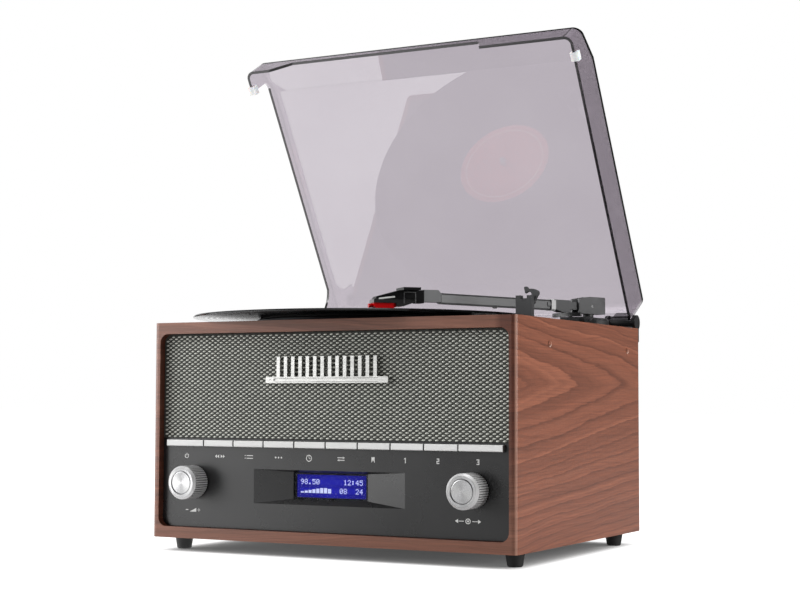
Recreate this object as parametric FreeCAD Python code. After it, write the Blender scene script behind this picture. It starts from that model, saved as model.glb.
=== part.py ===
import FreeCAD, Part
import math
import os

# Tabletop record player with a radio: a wooden cabinet, a fabric grille over two
# speakers, a row of push keys, two knobs, a lit display, a belt-driven platter with a
# straight tonearm, and a smoked hinged lid shown open.
# Millimetres, +Z up, +X to the right, +Y to the back. The origin is the centre of the
# footprint on the surface that the feet stand on.

V = FreeCAD.Vector

# Cabinet
width = 342.0
depth = 270.0
height = 183.0
side_t = 9.0
bottom_t = 9.0
rear_t = 5.0
frame_t = 12.0
corner_r = 4.5
joint_gap = 0.2

# Opening in the front frame
stile = 6.5
top_rail = 9.7
bottom_rail = 9.3
opening_r = 7.5
recess = 6.5

# Feet
foot_h = 11.5
foot_top_d = 16.0
foot_low_d = 12.5
foot_inset_x = 14.0
foot_inset_y = 28.0
foot_screw_d = 7.0
foot_screw_depth = 6.0

# Deck on top
deck_t = 2.5
deck_ledge = 4.0
well_gap = 1.5
well_wall = 2.0
well_depth = 10.0
spindle_boss_d = 16.0

# Turntable; places across the deck are measured inwards from the right side
spindle_in = 196.0
spindle_back = 111.0
spindle_d = 7.0
spindle_above_record = 8.0
press_gap = 0.02
running_gap = 0.06
platter_d = 190.0
platter_h = 12.0
platter_t = 2.2
platter_rim_t = 2.6
belt_ring_d = 124.0
belt_ring_t = 2.2
hub_d = 18.0
seat_gap = 0.3
mat_d = 184.0
mat_t = 1.2
record_d = 301.5
record_t = 1.8
record_land_t = 1.5
record_label_d = 100.0
record_rim_w = 4.0
record_bottom = 188.0

# Drive
motor_d = 32.0
motor_h = 22.0
motor_flange_d = 44.0
motor_flange_t = 1.5
motor_edge = 1.5
motor_collar_d = 8.0
motor_collar_h = 2.0
motor_shaft_d = 2.0
motor_angle = 135.0
belt_stretch = 5.0
pulley_d = 13.0
pulley_h = 7.0
pulley_lip = 0.9
belt_w = 4.0
belt_t = 0.8
belt_gap = 0.3

# Speakers behind the cloth
baffle_t = 4.6
cloth_t = 0.9
speaker_in = 67.0
speaker_z = 129.0
speaker_hole_d = 68.0
speaker_d = 78.0
speaker_flange_t = 2.5
speaker_depth = 34.0
speaker_magnet_d = 46.0
speaker_magnet_t = 12.0
cone_t = 0.8
cone_clear = 3.5
basket_t = 1.0
cap_d = 19.0
cap_h = 4.0
surround_w = 4.0

# Badge: a plain bar with upright fins
badge_w = 116.0
badge_bar_h = 5.2
badge_bar_low = 131.0
badge_t = 4.0
badge_fins = 14
badge_fin_w = 3.2
badge_fin_h = 16.7
badge_fin_span = 95.0
badge_pin_d = 2.5

# Keys
key_count = 10
key_row_inset = 5.7
key_end_ratio = 1.29333
key_gap = 0.6
key_low = 77.7
key_h = 5.3
key_proud = 4.0
key_slot_gap = 0.3
key_flange = 1.6
key_flange_t = 1.5
key_travel = 1.0
key_edge_r = 0.8

# Control panel
panel_t = 2.5
panel_rim_t = 1.6
panel_top_strip = 1.2
fit_gap = 0.3

# Display dish and module
dish_w = 143.0
dish_low = 31.3
dish_high = 59.6
dish_depth = 4.5
dish_wall = 1.6
window_w = 70.4
window_low = 35.8
window_high = 57.5
window_t = 1.2
lcd_view_w = 65.5
lcd_view_h = 18.5
lcd_frame_w = 76.0
lcd_frame_h = 24.6
lcd_frame_t = 6.0
lcd_board_w = 80.0
lcd_board_h = 36.0
board_t = 1.6
lcd_view_depth = 0.6

# Knobs and their encoders
knob_in = 39.8
knob_z = 47.5
knob_d = 28.0
knob_depth = 20.5
knob_flutes = 44
knob_flute_w = 1.5
knob_flute_depth = 0.75
knob_chamfer = 1.9
knob_plain_front = 2.6
knob_ring_d = 19.0
shaft_d = 6.0
shaft_hole_d = 8.6
knob_gap = 0.9
encoder_w = 13.0
encoder_t = 7.0
bush_d = 7.6
bush_len = 6.0
rotor_d = 9.6
rotor_t = 2.0
push_travel = 0.6

# Front board
front_board_back = 24.0
front_board_inset = 9.0
front_board_low = 14.0
front_board_high = 84.0
switch_w = 6.0
switch_t = 3.6
plunger_d = 3.2
plunger_t = 0.9
boss_d = 6.0

# Tonearm, seen from above: a straight beam, then a head turned inwards
pivot_in = 37.0
pivot_back = 240.5
arm_angle = 21.0
head_offset = 22.0
arm_z = 202.2
beam_w = 5.1
beam_h = 6.6
bend_at = 183.6
collar_near = 48.5
collar_far = 55.9
collar_d = 7.8
gusset_near = 26.4
gusset_w = 8.2
gusset_low = 195.8
gusset_high = 206.7
gusset_flat = 36.9
neck_w = 6.0
neck_h = 7.0
base_d = 38.0
base_h = 8.4
pedestal_d = 9.8
swivel_bottom = 195.6
swivel_len = 34.5
swivel_w = 10.5
swivel_top = 210.9
swivel_front_top = 208.6
swivel_slope_len = 14.1
cheek_t = 1.7
swivel_floor_t = 1.2
swivel_stem_d = 5.0
lift_pin_d = 2.4
tail_h = 7.6

# Head of the arm
coupling_len = 13.8
coupling_low = 198.4
coupling_high = 208.5
coupling_w = 9.2
head_collar_len = 6.4
head_len = 55.4
head_w = 17.4
head_front_w = 10.3
head_top = 207.3
head_under = 200.5
head_slope_at = 35.9
head_front_top = 202.1
head_wall = 1.3
lift_tab_len = 15.4
lift_tab_t = 2.0
lift_tab_reach = 9.0
cartridge_w = 12.0
cartridge_front = 57.5
cartridge_rear = 21.0
cartridge_low = 196.9
cartridge_heel = 194.2
stylus_w = 8.6
stylus_rear = 38.0
stylus_front = 56.8
stylus_low = 192.6
stylus_tip_at = 51.3
stylus_tip_low = 190.0

# Arm rest and its clip
rest_in = 37.0
rest_back = 99.5
rest_w = 14.4
rest_t = 5.4
rest_top = 204.2
notch_w = 5.6
notch_bottom = 200.4
clip_t = 3.5
clip_pivot_dx = 5.3
clip_pivot_z = 199.3
clip_pin_d = 2.0

# Cue lever and lifter
lifter_r = 31.8
lifter_w = 4.0
lifter_t = 3.4
lifter_gap = 0.3
lifter_from = -8.0
lifter_to = 49.0
lifter_post_d = 3.6
lifter_post_at = 8.0
lifter_seat = 0.7
cue_shaft_d = 5.0
cue_shaft_z = 186.4
cue_flat = 1.0
cue_lever_in = 21.0
cue_lever_w = 4.4
cue_lever_len = 22.0
cue_lever_t = 2.2

# Speed selector
selector_in = 19.0
selector_back = 113.0
selector_w = 6.0
selector_len = 9.0
selector_high = 1.8
selector_stem_w = 3.0
selector_stem_len = 4.0
selector_travel = 10.0

# Lid, sized in its closed pose and then opened about its hinge
lid_open_deg = 59.1
lid_inset = 6.0
lid_len = 278.7
lid_h = 38.9
lid_front_h = 23.3
lid_slope_len = 33.5
lid_rear_top = 276.0
lid_rear_bulge_h = 21.6
lid_rear_low = 276.0
lid_wall = 2.6
lid_corner_r = 8.0
lid_front_back = -3.4
lid_rim_gap = 0.5
hinge_back = 5.2
hinge_up = 5.6
front_notch_to_left = 114.0
front_notch_ramp = 18.0
front_notch_to_right = 103.0
front_notch_step = 7.0
front_notch_h = 14.2
left_notch_from = 20.0
left_notch_step = 8.0
left_notch_to = 262.0
left_notch_run = 16.0
left_notch_h = 29.0
bumper_at = 15.0
bumper_len = 8.0
bumper_w = 7.0
bumper_h = 5.5
bumper_lip = 0.3
bumper_clear = 0.05

# Hinges at the rear corners
ear_inset = 2.7
ear_span = 29.8
ear_t = 3.0
ear_r = 7.0
hinge_side_gap = 0.3
barrel_r = 4.5
hinge_pin_d = 3.6
leaf_from = 0.052
leaf_to = 0.612
leaf_t = 2.4
leaf_top = 29.0
hinge_plate_t = 2.5
hinge_plate_low = 158.0
hinge_cut_gap = 0.6

# Rear panel, sockets and the board behind them
socket_z = 40.0
phono_x = -70.0
phono_pitch = 14.0
phono_d = 8.3
phono_len = 9.0
phono_plate_w = 34.0
phono_plate_h = 16.0
aux_x = -30.0
aux_d = 6.0
dc_x = 100.0
dc_d = 11.0
dc_bore_d = 5.6
dc_pin_d = 2.0
aerial_x = 40.0
aerial_d = 9.4
aerial_len = 9.0
socket_flange_t = 2.0
vent_count = 9
vent_w = 3.0
vent_h = 26.0
vent_pitch = 9.0
vent_z = 120.0
main_board_w = 190.0
main_board_d = 90.0
main_board_up = 6.0
main_board_inset = 6.0
main_board_post_d = 6.0
main_board_rear_gap = 8.0
heat_sink_w = 40.0
heat_sink_d = 20.0
heat_sink_h = 18.4
heat_sink_in = 65.0
fin_pitch = 4.0
fin_w = 2.0
fin_depth = 12.0
can_d = 16.0
can_h = 22.4
can_in = 145.0

# Heights and planes worked out from the sizes above
front = -depth / 2.0
back = depth / 2.0
low = foot_h
top = foot_h + height
half = width / 2.0
inner_half = half - side_t
open_half = half - stile
open_low = low + bottom_rail
open_high = top - top_rail
panel_y = front + recess
frame_back = front + frame_t
spindle_x = half - spindle_in
speaker_x = half - speaker_in
knob_x = half - knob_in
key_w = 2.0 * (open_half - key_row_inset) / (key_count - 2.0 + 2.0 * key_end_ratio)
key_end_w = key_w * key_end_ratio
front_board_w = 2.0 * (inner_half - front_board_inset)
pivot_x = half - pivot_in
rest_x = half - rest_in
cue_lever_x = half - cue_lever_in
selector_x = half - selector_in
lid_w = width - 2.0 * lid_inset
front_notch_left = spindle_x - front_notch_to_left
front_notch_right = spindle_x + front_notch_to_right
ear_out = half - ear_inset
ear_in = ear_out - ear_span


def up(z_above_bottom):
    """Height above the surface of a height above the cabinet's underside."""
    return low + z_above_bottom


def behind(distance):
    """Y of a plane that lies this far behind the front face."""
    return front + distance


def box(x0, x1, y0, y1, z0, z1):
    return Part.makeBox(x1 - x0, y1 - y0, z1 - z0, V(x0, y0, z0))


def rod(radius, start, end):
    start = V(*start)
    axis = V(*end) - start
    return Part.makeCylinder(radius, axis.Length, start, axis)


def ring(outer_r, inner_r, start, end):
    return rod(outer_r, start, end).cut(rod(inner_r, start, end))


def polygon(points):
    vectors = [V(*p) for p in points]
    return Part.makePolygon(vectors + [vectors[0]])


def prism(points, travel):
    return Part.Face(polygon(points)).extrude(V(*travel))


def rounded_rect(x0, x1, z0, z1, y, radii):
    """Closed wire in the plane y, with radii for lower left, lower right, upper right, upper left."""
    ll, lr, ur, ul = radii
    corners = [((x0, z0), ll, (1, 1), 180.0), ((x1, z0), lr, (-1, 1), 270.0),
               ((x1, z1), ur, (-1, -1), 0.0), ((x0, z1), ul, (1, -1), 90.0)]
    edges = []
    ends = []
    for (cx, cz), r, (sx, sz), start in corners:
        if r <= 0.0:
            ends.append((V(cx, y, cz), V(cx, y, cz)))
            continue
        centre = V(cx + sx * r, y, cz + sz * r)
        points = []
        for step in (0.0, 45.0, 90.0):
            a = math.radians(start + step)
            points.append(centre + V(r * math.cos(a), 0, r * math.sin(a)))
        edges.append(Part.Arc(*points).toShape())
        ends.append((points[0], points[2]))
    for i in range(4):
        a = ends[i][1]
        b = ends[(i + 1) % 4][0]
        if a.distanceToPoint(b) > 1e-6:
            edges.append(Part.LineSegment(a, b).toShape())
    return Part.Wire(Part.__sortEdges__(edges))


def rounded_plate(x0, x1, z0, z1, y0, y1, radii):
    return Part.Face(rounded_rect(x0, x1, z0, z1, y0, radii)).extrude(V(0, y1 - y0, 0))


def revolved(profile, centre):
    """Solid of revolution about a vertical line; profile holds (radius, height) points."""
    points = [(centre[0] + r, centre[1], z) for r, z in profile]
    face = Part.Face(polygon(points))
    return face.revolve(V(centre[0], centre[1], 0), V(0, 0, 1), 360)


def revolved_y(profile, centre):
    """Solid of revolution about a line along Y; profile holds (radius, y) points."""
    points = [(centre[0] + r, y, centre[1]) for r, y in profile]
    face = Part.Face(polygon(points))
    return face.revolve(V(centre[0], 0, centre[1]), V(0, 1, 0), 360)


def fuse(shapes):
    shapes = list(shapes)
    solid = shapes[0]
    for shape in shapes[1:]:
        solid = solid.fuse(shape)
    return solid.removeSplitter()


def vertical_edges(shape, inside):
    """Vertical edges whose middle passes the test."""
    found = []
    for edge in shape.Edges:
        box_of = edge.BoundBox
        if box_of.XLength < 1e-6 and box_of.YLength < 1e-6 and inside(edge.CenterOfMass):
            found.append(edge)
    return found


# Cabinet

def front_frame():
    frame = box(-half, half, front, frame_back, low, top)
    frame = frame.makeFillet(corner_r, vertical_edges(frame, lambda c: c.y < front + 1))
    radii = (opening_r,) * 4
    frame = frame.cut(rounded_plate(-open_half, open_half, open_low, open_high,
                                    front - 1, frame_back + 1, radii))
    ledge = box(-inner_half - deck_ledge, inner_half + deck_ledge, frame_back - deck_ledge,
                frame_back + 1, top - deck_t, top + 1)
    return frame.cut(ledge)


def side_panel(side):
    x0, x1 = sorted((side * inner_half, side * half))
    panel = box(x0, x1, frame_back, back, low, top)
    ledge = box(-inner_half - deck_ledge, inner_half + deck_ledge, frame_back - 1, back + 1,
                top - deck_t, top + 1)
    return panel.cut(ledge)


def foot_centres():
    for sx in (-1, 1):
        for y in (front + foot_inset_y, back - foot_inset_y):
            yield sx * (half - foot_inset_x), y


def bottom_panel():
    return box(-inner_half, inner_half, frame_back, back, low, low + bottom_t)


def feet():
    solids = []
    for x, y in foot_centres():
        profile = [(foot_screw_d / 2, 0), (foot_low_d / 2 - 1.0, 0), (foot_low_d / 2, 1.0),
                   (foot_top_d / 2, foot_h), (0, foot_h), (0, foot_screw_depth),
                   (foot_screw_d / 2, foot_screw_depth)]
        solids.append(revolved(profile, (x, y)))
    return Part.makeCompound(solids)


def rear_panel():
    panel = box(-inner_half, inner_half, back - rear_t, back, low + bottom_t, top - deck_t)
    cuts = []
    for i in range(vent_count):
        x = (i - (vent_count - 1) / 2.0) * vent_pitch
        z = up(vent_z)
        cuts.append(rounded_plate(x - vent_w / 2, x + vent_w / 2, z - vent_h / 2, z + vent_h / 2,
                                  back - rear_t - 1, back + 1, (vent_w * 0.45,) * 4))
    for x, d in socket_holes():
        cuts.append(rod(d / 2 + joint_gap, (x, back - rear_t - 1, up(socket_z)),
                        (x, back + 1, up(socket_z))))
    return panel.cut(cuts)


def socket_holes():
    return [(phono_x - phono_pitch / 2, phono_d), (phono_x + phono_pitch / 2, phono_d),
            (aux_x, aux_d), (dc_x, dc_d - 2.0), (aerial_x, aerial_d)]


# Deck and turntable

well_r = platter_d / 2 + well_gap
spindle_y = behind(spindle_back)
record_low = up(record_bottom)
platter_top = record_low - mat_t
platter_low = platter_top - platter_h
well_floor = top - well_depth
hub_low = well_floor + seat_gap + 1.0


def motor_centre():
    reach = belt_ring_d / 2 + belt_t + pulley_d / 2 + belt_stretch
    a = math.radians(motor_angle)
    return spindle_x + reach * math.cos(a), spindle_y + reach * math.sin(a)


def lifter_low():
    return up(gusset_low) - lifter_gap - lifter_t


def bracket_top():
    return lifter_low() - lifter_seat


def bracket_box():
    x0 = pivot_x - 12.0
    x1 = cue_lever_x - cue_lever_w / 2 - fit_gap
    return x0, x1, behind(pivot_back - lifter_r - 5.0), behind(pivot_back)


def deck_plate():
    reach = inner_half + deck_ledge - joint_gap
    plate = box(-reach, reach, frame_back - deck_ledge + joint_gap, back, top - deck_t, top)
    tub = rod(well_r + well_wall, (spindle_x, spindle_y, well_floor - deck_t),
              (spindle_x, spindle_y, top - 0.1))
    well = rod(well_r, (spindle_x, spindle_y, well_floor), (spindle_x, spindle_y, top + 1))
    boss = rod(spindle_boss_d / 2, (spindle_x, spindle_y, well_floor - 8.0),
               (spindle_x, spindle_y, well_floor + 1.0))
    deck = fuse([plate, tub]).cut(well)
    deck = fuse([deck, boss])
    mx, my = motor_centre()
    cuts = [rod(spindle_d / 2 + press_gap, (spindle_x, spindle_y, well_floor - 9.0),
                (spindle_x, spindle_y, top)),
            rod(pulley_d / 2 + pulley_lip + 1.0, (mx, my, well_floor - 5.0), (mx, my, top)),
            box(selector_x - selector_stem_w / 2 - fit_gap, selector_x + selector_stem_w / 2 + fit_gap,
                behind(selector_back) - selector_stem_len / 2 - fit_gap,
                behind(selector_back) + selector_stem_len / 2 + selector_travel + fit_gap,
                top - deck_t - 1, top + 1)]
    return deck.cut(cuts)


def platter_spindle():
    tip = record_low + record_t + spindle_above_record
    pin = rod(spindle_d / 2, (spindle_x, spindle_y, well_floor - 8.0), (spindle_x, spindle_y, tip - 3.0))
    nose = Part.makeCone(spindle_d / 2, spindle_d / 2 - 1.6, 3.0, V(spindle_x, spindle_y, tip - 3.0))
    return fuse([pin, nose])


def platter():
    outer = platter_d / 2
    profile = [(0, platter_top), (outer - 0.8, platter_top), (outer, platter_top - 0.8),
               (outer, platter_low), (outer - platter_rim_t, platter_low),
               (outer - platter_rim_t, platter_top - platter_t), (0, platter_top - platter_t)]
    dish = revolved(profile, (spindle_x, spindle_y))
    centre_low = (spindle_x, spindle_y, platter_low + 1.5)
    centre_high = (spindle_x, spindle_y, platter_top - platter_t)
    belt_ring = ring(belt_ring_d / 2, belt_ring_d / 2 - belt_ring_t, centre_low, centre_high)
    hub = rod(hub_d / 2, (spindle_x, spindle_y, hub_low), centre_high)
    ribs = []
    for i in range(6):
        a = 60.0 * i + 30.0
        rib = box(hub_d / 2 - 1, belt_ring_d / 2 - 1, -0.9, 0.9, platter_top - 6.0,
                  platter_top - platter_t)
        rib.rotate(V(0, 0, 0), V(0, 0, 1), a)
        rib.translate(V(spindle_x, spindle_y, 0))
        ribs.append(rib)
    solid = fuse([dish, belt_ring, hub] + ribs)
    return solid.cut(rod(spindle_d / 2 + running_gap, (spindle_x, spindle_y, platter_low - 5),
                         (spindle_x, spindle_y, platter_top + 1)))


def slipmat():
    label_r = record_label_d / 2 + 2.0
    rim = mat_d / 2
    bore = spindle_d / 2 + running_gap
    profile = [(bore, platter_top), (rim, platter_top), (rim, platter_top + mat_t),
               (label_r, platter_top + mat_t), (label_r - 1.0, platter_top + mat_t - 0.4),
               (bore, platter_top + mat_t - 0.4)]
    return revolved(profile, (spindle_x, spindle_y))


def vinyl_record():
    edge = record_d / 2
    bore = spindle_d / 2 + running_gap
    label_r = record_label_d / 2
    step = (record_t - record_land_t) / 2
    land_r = edge - record_rim_w
    mid = record_low + record_t / 2
    profile = [(bore, record_low), (label_r, record_low), (label_r + 1.0, record_low + step),
               (land_r, record_low + step), (land_r + 1.2, record_low), (edge - 0.6, record_low),
               (edge, mid), (edge - 0.6, record_low + record_t), (land_r + 1.2, record_low + record_t),
               (land_r, record_low + record_t - step), (label_r + 1.0, record_low + record_t - step),
               (label_r, record_low + record_t), (bore, record_low + record_t)]
    return revolved(profile, (spindle_x, spindle_y))


def drive_motor():
    mx, my = motor_centre()
    ceiling = well_floor - deck_t
    bottom = ceiling - motor_h
    shaft_r = motor_shaft_d / 2
    profile = [(0, bottom), (motor_d / 2 - motor_edge, bottom), (motor_d / 2, bottom + motor_edge),
               (motor_d / 2, ceiling - motor_flange_t), (motor_flange_d / 2, ceiling - motor_flange_t),
               (motor_flange_d / 2, ceiling), (motor_collar_d / 2, ceiling),
               (motor_collar_d / 2, ceiling + motor_collar_h), (shaft_r, ceiling + motor_collar_h),
               (shaft_r, pulley_low() + pulley_h), (0, pulley_low() + pulley_h)]
    return revolved(profile, (mx, my))


def belt_middle():
    return platter_low + 1.5 + (platter_top - platter_t - platter_low - 1.5) / 2


def pulley_low():
    return belt_middle() - pulley_h / 2


def motor_pulley():
    mx, my = motor_centre()
    z0 = pulley_low()
    r = pulley_d / 2
    bore = motor_shaft_d / 2 + running_gap
    lip = (pulley_h - belt_w - 1.0) / 2
    profile = [(bore, z0), (r + pulley_lip, z0), (r + pulley_lip, z0 + lip * 0.6), (r, z0 + lip),
               (r, z0 + pulley_h - lip), (r + pulley_lip, z0 + pulley_h - lip * 0.6),
               (r + pulley_lip, z0 + pulley_h), (bore, z0 + pulley_h)]
    return revolved(profile, (mx, my))


def belt_outline(grow, z):
    """Loop round the ring and the pulley: two tangent lines and two arcs."""
    mx, my = motor_centre()
    reach = math.hypot(mx - spindle_x, my - spindle_y)
    r1 = belt_ring_d / 2 + grow
    r2 = pulley_d / 2 + grow
    lean = math.acos((r1 - r2) / reach)
    a = math.atan2(my - spindle_y, mx - spindle_x)

    def at(cx, cy, r, angle):
        return V(cx + r * math.cos(angle), cy + r * math.sin(angle), z)

    big = [at(spindle_x, spindle_y, r1, a + s) for s in (lean, math.pi, -lean)]
    small = [at(mx, my, r2, a + s) for s in (-lean, 0.0, lean)]
    edges = [Part.Arc(*big).toShape(), Part.LineSegment(big[2], small[0]).toShape(),
             Part.Arc(*small).toShape(), Part.LineSegment(small[2], big[0]).toShape()]
    return Part.Face(Part.Wire(edges))


def drive_belt():
    z = belt_middle() - belt_w / 2
    outer = belt_outline(belt_gap + belt_t, z).extrude(V(0, 0, belt_w))
    return outer.cut(belt_outline(belt_gap, z).extrude(V(0, 0, belt_w)))


# Front: baffle, cloth, badge and speakers

grille_low = up(key_low + key_h) + key_slot_gap + panel_top_strip + fit_gap


def baffle_plate(y0, y1):
    radii = (0, 0, opening_r - fit_gap, opening_r - fit_gap)
    return rounded_plate(-open_half + fit_gap, open_half - fit_gap, grille_low, open_high - fit_gap,
                         y0, y1, radii)


def badge_pins():
    for side in (-1, 1):
        yield side * badge_w * 0.4, up(badge_bar_low) + badge_bar_h / 2


def speaker_baffle():
    y0 = panel_y + cloth_t
    board = baffle_plate(y0, frame_back)
    cuts = [rod(speaker_hole_d / 2, (side * speaker_x, y0 - 1, up(speaker_z)),
                (side * speaker_x, frame_back + 1, up(speaker_z))) for side in (-1, 1)]
    cuts += [rod(badge_pin_d / 2 + press_gap, (x, y0 - 1, z), (x, frame_back + 1, z))
             for x, z in badge_pins()]
    return board.cut(cuts)


def grille_cloth():
    sheet = baffle_plate(panel_y, panel_y + cloth_t)
    return sheet.cut([rod(badge_pin_d / 2 + press_gap, (x, panel_y - 1, z), (x, panel_y + 2, z))
                      for x, z in badge_pins()])


def badge():
    y0 = panel_y - badge_t
    z0 = up(badge_bar_low)
    bar = rounded_plate(-badge_w / 2, badge_w / 2, z0, z0 + badge_bar_h, y0, panel_y, (1.2,) * 4)
    groove = box(-badge_w / 2 + 4, badge_w / 2 - 4, y0 - 1, y0 + 0.5,
                 z0 + badge_bar_h * 0.42, z0 + badge_bar_h * 0.58)
    bar = bar.cut(groove)
    pitch = (badge_fin_span - badge_fin_w) / (badge_fins - 1)
    fins = []
    for i in range(badge_fins):
        x = -badge_fin_span / 2 + i * pitch
        fins.append(box(x, x + badge_fin_w, y0 + 0.4, panel_y, z0 + badge_bar_h - 0.4,
                        z0 + badge_bar_h + badge_fin_h))
    pins = [rod(badge_pin_d / 2, (x, panel_y - 0.1, z), (x, frame_back - 0.5, z)) for x, z in badge_pins()]
    return fuse([bar] + fins + pins)


def speaker(side):
    """Steel basket and magnet; the basket is an open cone."""
    r = speaker_d / 2
    y0 = frame_back
    y1 = y0 + speaker_flange_t
    y3 = y0 + speaker_depth
    y2 = y3 - speaker_magnet_t
    hole = speaker_hole_d / 2
    neck = speaker_magnet_d * 0.4
    profile = [(hole - basket_t, y0), (r, y0), (r, y1), (hole, y1), (neck + basket_t, y2),
               (speaker_magnet_d / 2, y2), (speaker_magnet_d / 2, y3), (0, y3), (0, y2), (neck, y2)]
    return revolved_y(profile, (side * speaker_x, up(speaker_z)))


def speaker_cones():
    """Paper cones with a dust cap and a raised surround."""
    cones = []
    rim = speaker_hole_d / 2 - 2.0 * basket_t
    deep = frame_back + speaker_depth - speaker_magnet_t - cone_clear
    for side in (-1, 1):
        profile = [(0, deep - cap_h), (cap_d / 2, deep - cap_h * 0.3), (rim - surround_w, frame_back + 0.8),
                   (rim - surround_w / 2, frame_back - 0.4), (rim, frame_back + 0.4),
                   (rim, frame_back + 0.4 + cone_t), (rim - surround_w, frame_back + 0.8 + cone_t * 1.4),
                   (cap_d / 2, deep), (0, deep)]
        cones.append(revolved_y(profile, (side * speaker_x, up(speaker_z))))
    return Part.makeCompound(cones)


# Control panel, display and keys

board_y = behind(front_board_back)
panel_back = panel_y + panel_t
dish_mid = (window_low + window_high) / 2.0
window_floor = panel_y + dish_depth
window_back = window_floor + dish_wall
lcd_front = window_back + 0.1
lcd_board_y = lcd_front + lcd_frame_t


def dish_solid(grow, y0, y1, floor_grow):
    outer = rounded_rect(-dish_w / 2 - grow, dish_w / 2 + grow, up(dish_low) - grow, up(dish_high) + grow,
                         y0, (0, 0, 0, 0))
    inner = rounded_rect(-window_w / 2 - floor_grow, window_w / 2 + floor_grow, up(window_low) - floor_grow,
                         up(window_high) + floor_grow, y1, (0, 0, 0, 0))
    return Part.makeLoft([outer, inner], True, True)


def key_edges():
    """Left and right x of each key, from the key widths and the gap between keys."""
    widths = [key_end_w] + [key_w] * (key_count - 2) + [key_end_w]
    x = -sum(widths) / 2.0
    for w in widths:
        yield x + key_gap / 2, x + w - key_gap / 2
        x += w


def lcd_bosses():
    for sx in (-1, 1):
        for sz in (-1, 1):
            yield sx * (lcd_board_w / 2 - 2.5), up(dish_mid) + sz * (lcd_board_h / 2 - 2.5)


def board_bosses():
    for x in (-front_board_w / 2 + 6.0, front_board_w / 2 - 6.0):
        for z in (up(front_board_low) + 5.0, up(front_board_high) - 14.0):
            yield x, z


def control_panel():
    z0 = open_low + fit_gap
    z1 = up(key_low + key_h) + key_slot_gap + panel_top_strip
    x1 = open_half - fit_gap
    radii = (opening_r - fit_gap, opening_r - fit_gap, 0, 0)
    plate = rounded_plate(-x1, x1, z0, z1, panel_y, panel_back, radii)
    rim_out = rounded_plate(-x1, x1, z0, z1, panel_y + 0.5, frame_back, radii)
    rim_in = rounded_plate(-x1 + panel_rim_t + 1.0, x1 - panel_rim_t - 1.0, z0 + panel_rim_t,
                           z1 + 5.0, panel_y, frame_back + 1, (opening_r - 1.0, opening_r - 1.0, 0, 0))
    body = fuse([plate, rim_out.cut(rim_in)])
    tub = dish_solid(dish_wall, panel_y + 0.3, window_back, dish_wall)
    body = fuse([body, tub])
    bosses = [rod(boss_d / 2, (x, panel_back - 0.5, z), (x, lcd_board_y, z)) for x, z in lcd_bosses()]
    bosses += [rod(boss_d / 2, (x, panel_back - 0.5, z), (x, board_y, z)) for x, z in board_bosses()]
    body = fuse([body] + bosses)
    slot_low = up(key_low) - key_slot_gap
    slot_high = up(key_low + key_h) + key_slot_gap
    edges = list(key_edges())
    cuts = [dish_solid(0.0, panel_y - 0.01, window_floor, 0.0),
            box(-window_w / 2, window_w / 2, window_floor - 0.5, window_back + 1.0,
                up(window_low), up(window_high)),
            box(edges[0][0] - key_slot_gap, edges[-1][1] + key_slot_gap, panel_y - 1, panel_back + 0.01,
                slot_low, slot_high)]
    cuts += [rod(shaft_hole_d / 2, (side * knob_x, panel_y - 1, up(knob_z)),
                 (side * knob_x, panel_back + 1, up(knob_z))) for side in (-1, 1)]
    return body.cut(cuts)


def display_window():
    g = 0.1
    return box(-window_w / 2 + g, window_w / 2 - g, window_back - window_t, window_back,
               up(window_low) + g, up(window_high) - g)


def lcd_module():
    zc = up(dish_mid)
    frame = box(-lcd_frame_w / 2, lcd_frame_w / 2, lcd_front, lcd_board_y,
                zc - lcd_frame_h / 2, zc + lcd_frame_h / 2)
    view = box(-lcd_view_w / 2, lcd_view_w / 2, lcd_front - 1, lcd_front + lcd_view_depth,
               zc - lcd_view_h / 2, zc + lcd_view_h / 2)
    board = box(-lcd_board_w / 2, lcd_board_w / 2, lcd_board_y, lcd_board_y + board_t,
                zc - lcd_board_h / 2, zc + lcd_board_h / 2)
    return fuse([frame.cut(view), board])


key_front_y = panel_y - key_proud
key_back_y = board_y - switch_t - plunger_t - key_travel - 0.15


def key(index):
    x0, x1 = list(key_edges())[index]
    z0 = up(key_low)
    z1 = up(key_low + key_h)
    cap = box(x0, x1, key_front_y, panel_back + seat_gap + 0.1, z0, z1)
    front_edges = [e for e in cap.Edges if abs(e.CenterOfMass.y - key_front_y) < 0.01]
    cap = cap.makeFillet(key_edge_r, front_edges)
    flange = box(x0, x1, panel_back + seat_gap, panel_back + seat_gap + key_flange_t,
                 z0 - key_flange, z1)
    mid = (x0 + x1) / 2
    stem = box(mid - 3.0, mid + 3.0, panel_back + seat_gap, key_back_y, z0 + 0.6, z1 - 0.6)
    return fuse([cap, flange, stem])


def front_board():
    board = box(-front_board_w / 2, front_board_w / 2, board_y, board_y + board_t,
                up(front_board_low), up(front_board_high))
    shapes = [board]
    for x0, x1 in key_edges():
        mid = (x0 + x1) / 2
        zc = up(key_low + key_h / 2)
        shapes.append(box(mid - switch_w / 2, mid + switch_w / 2, board_y - switch_t, board_y,
                          zc - switch_w / 2, zc + switch_w / 2))
        shapes.append(rod(plunger_d / 2, (mid, board_y - switch_t - plunger_t, zc),
                          (mid, board_y - switch_t, zc)))
    return fuse(shapes)


# Knobs and encoders

encoder_front = board_y - encoder_t
knob_back_y = panel_y - knob_gap
knob_front_y = panel_y - knob_depth


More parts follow.
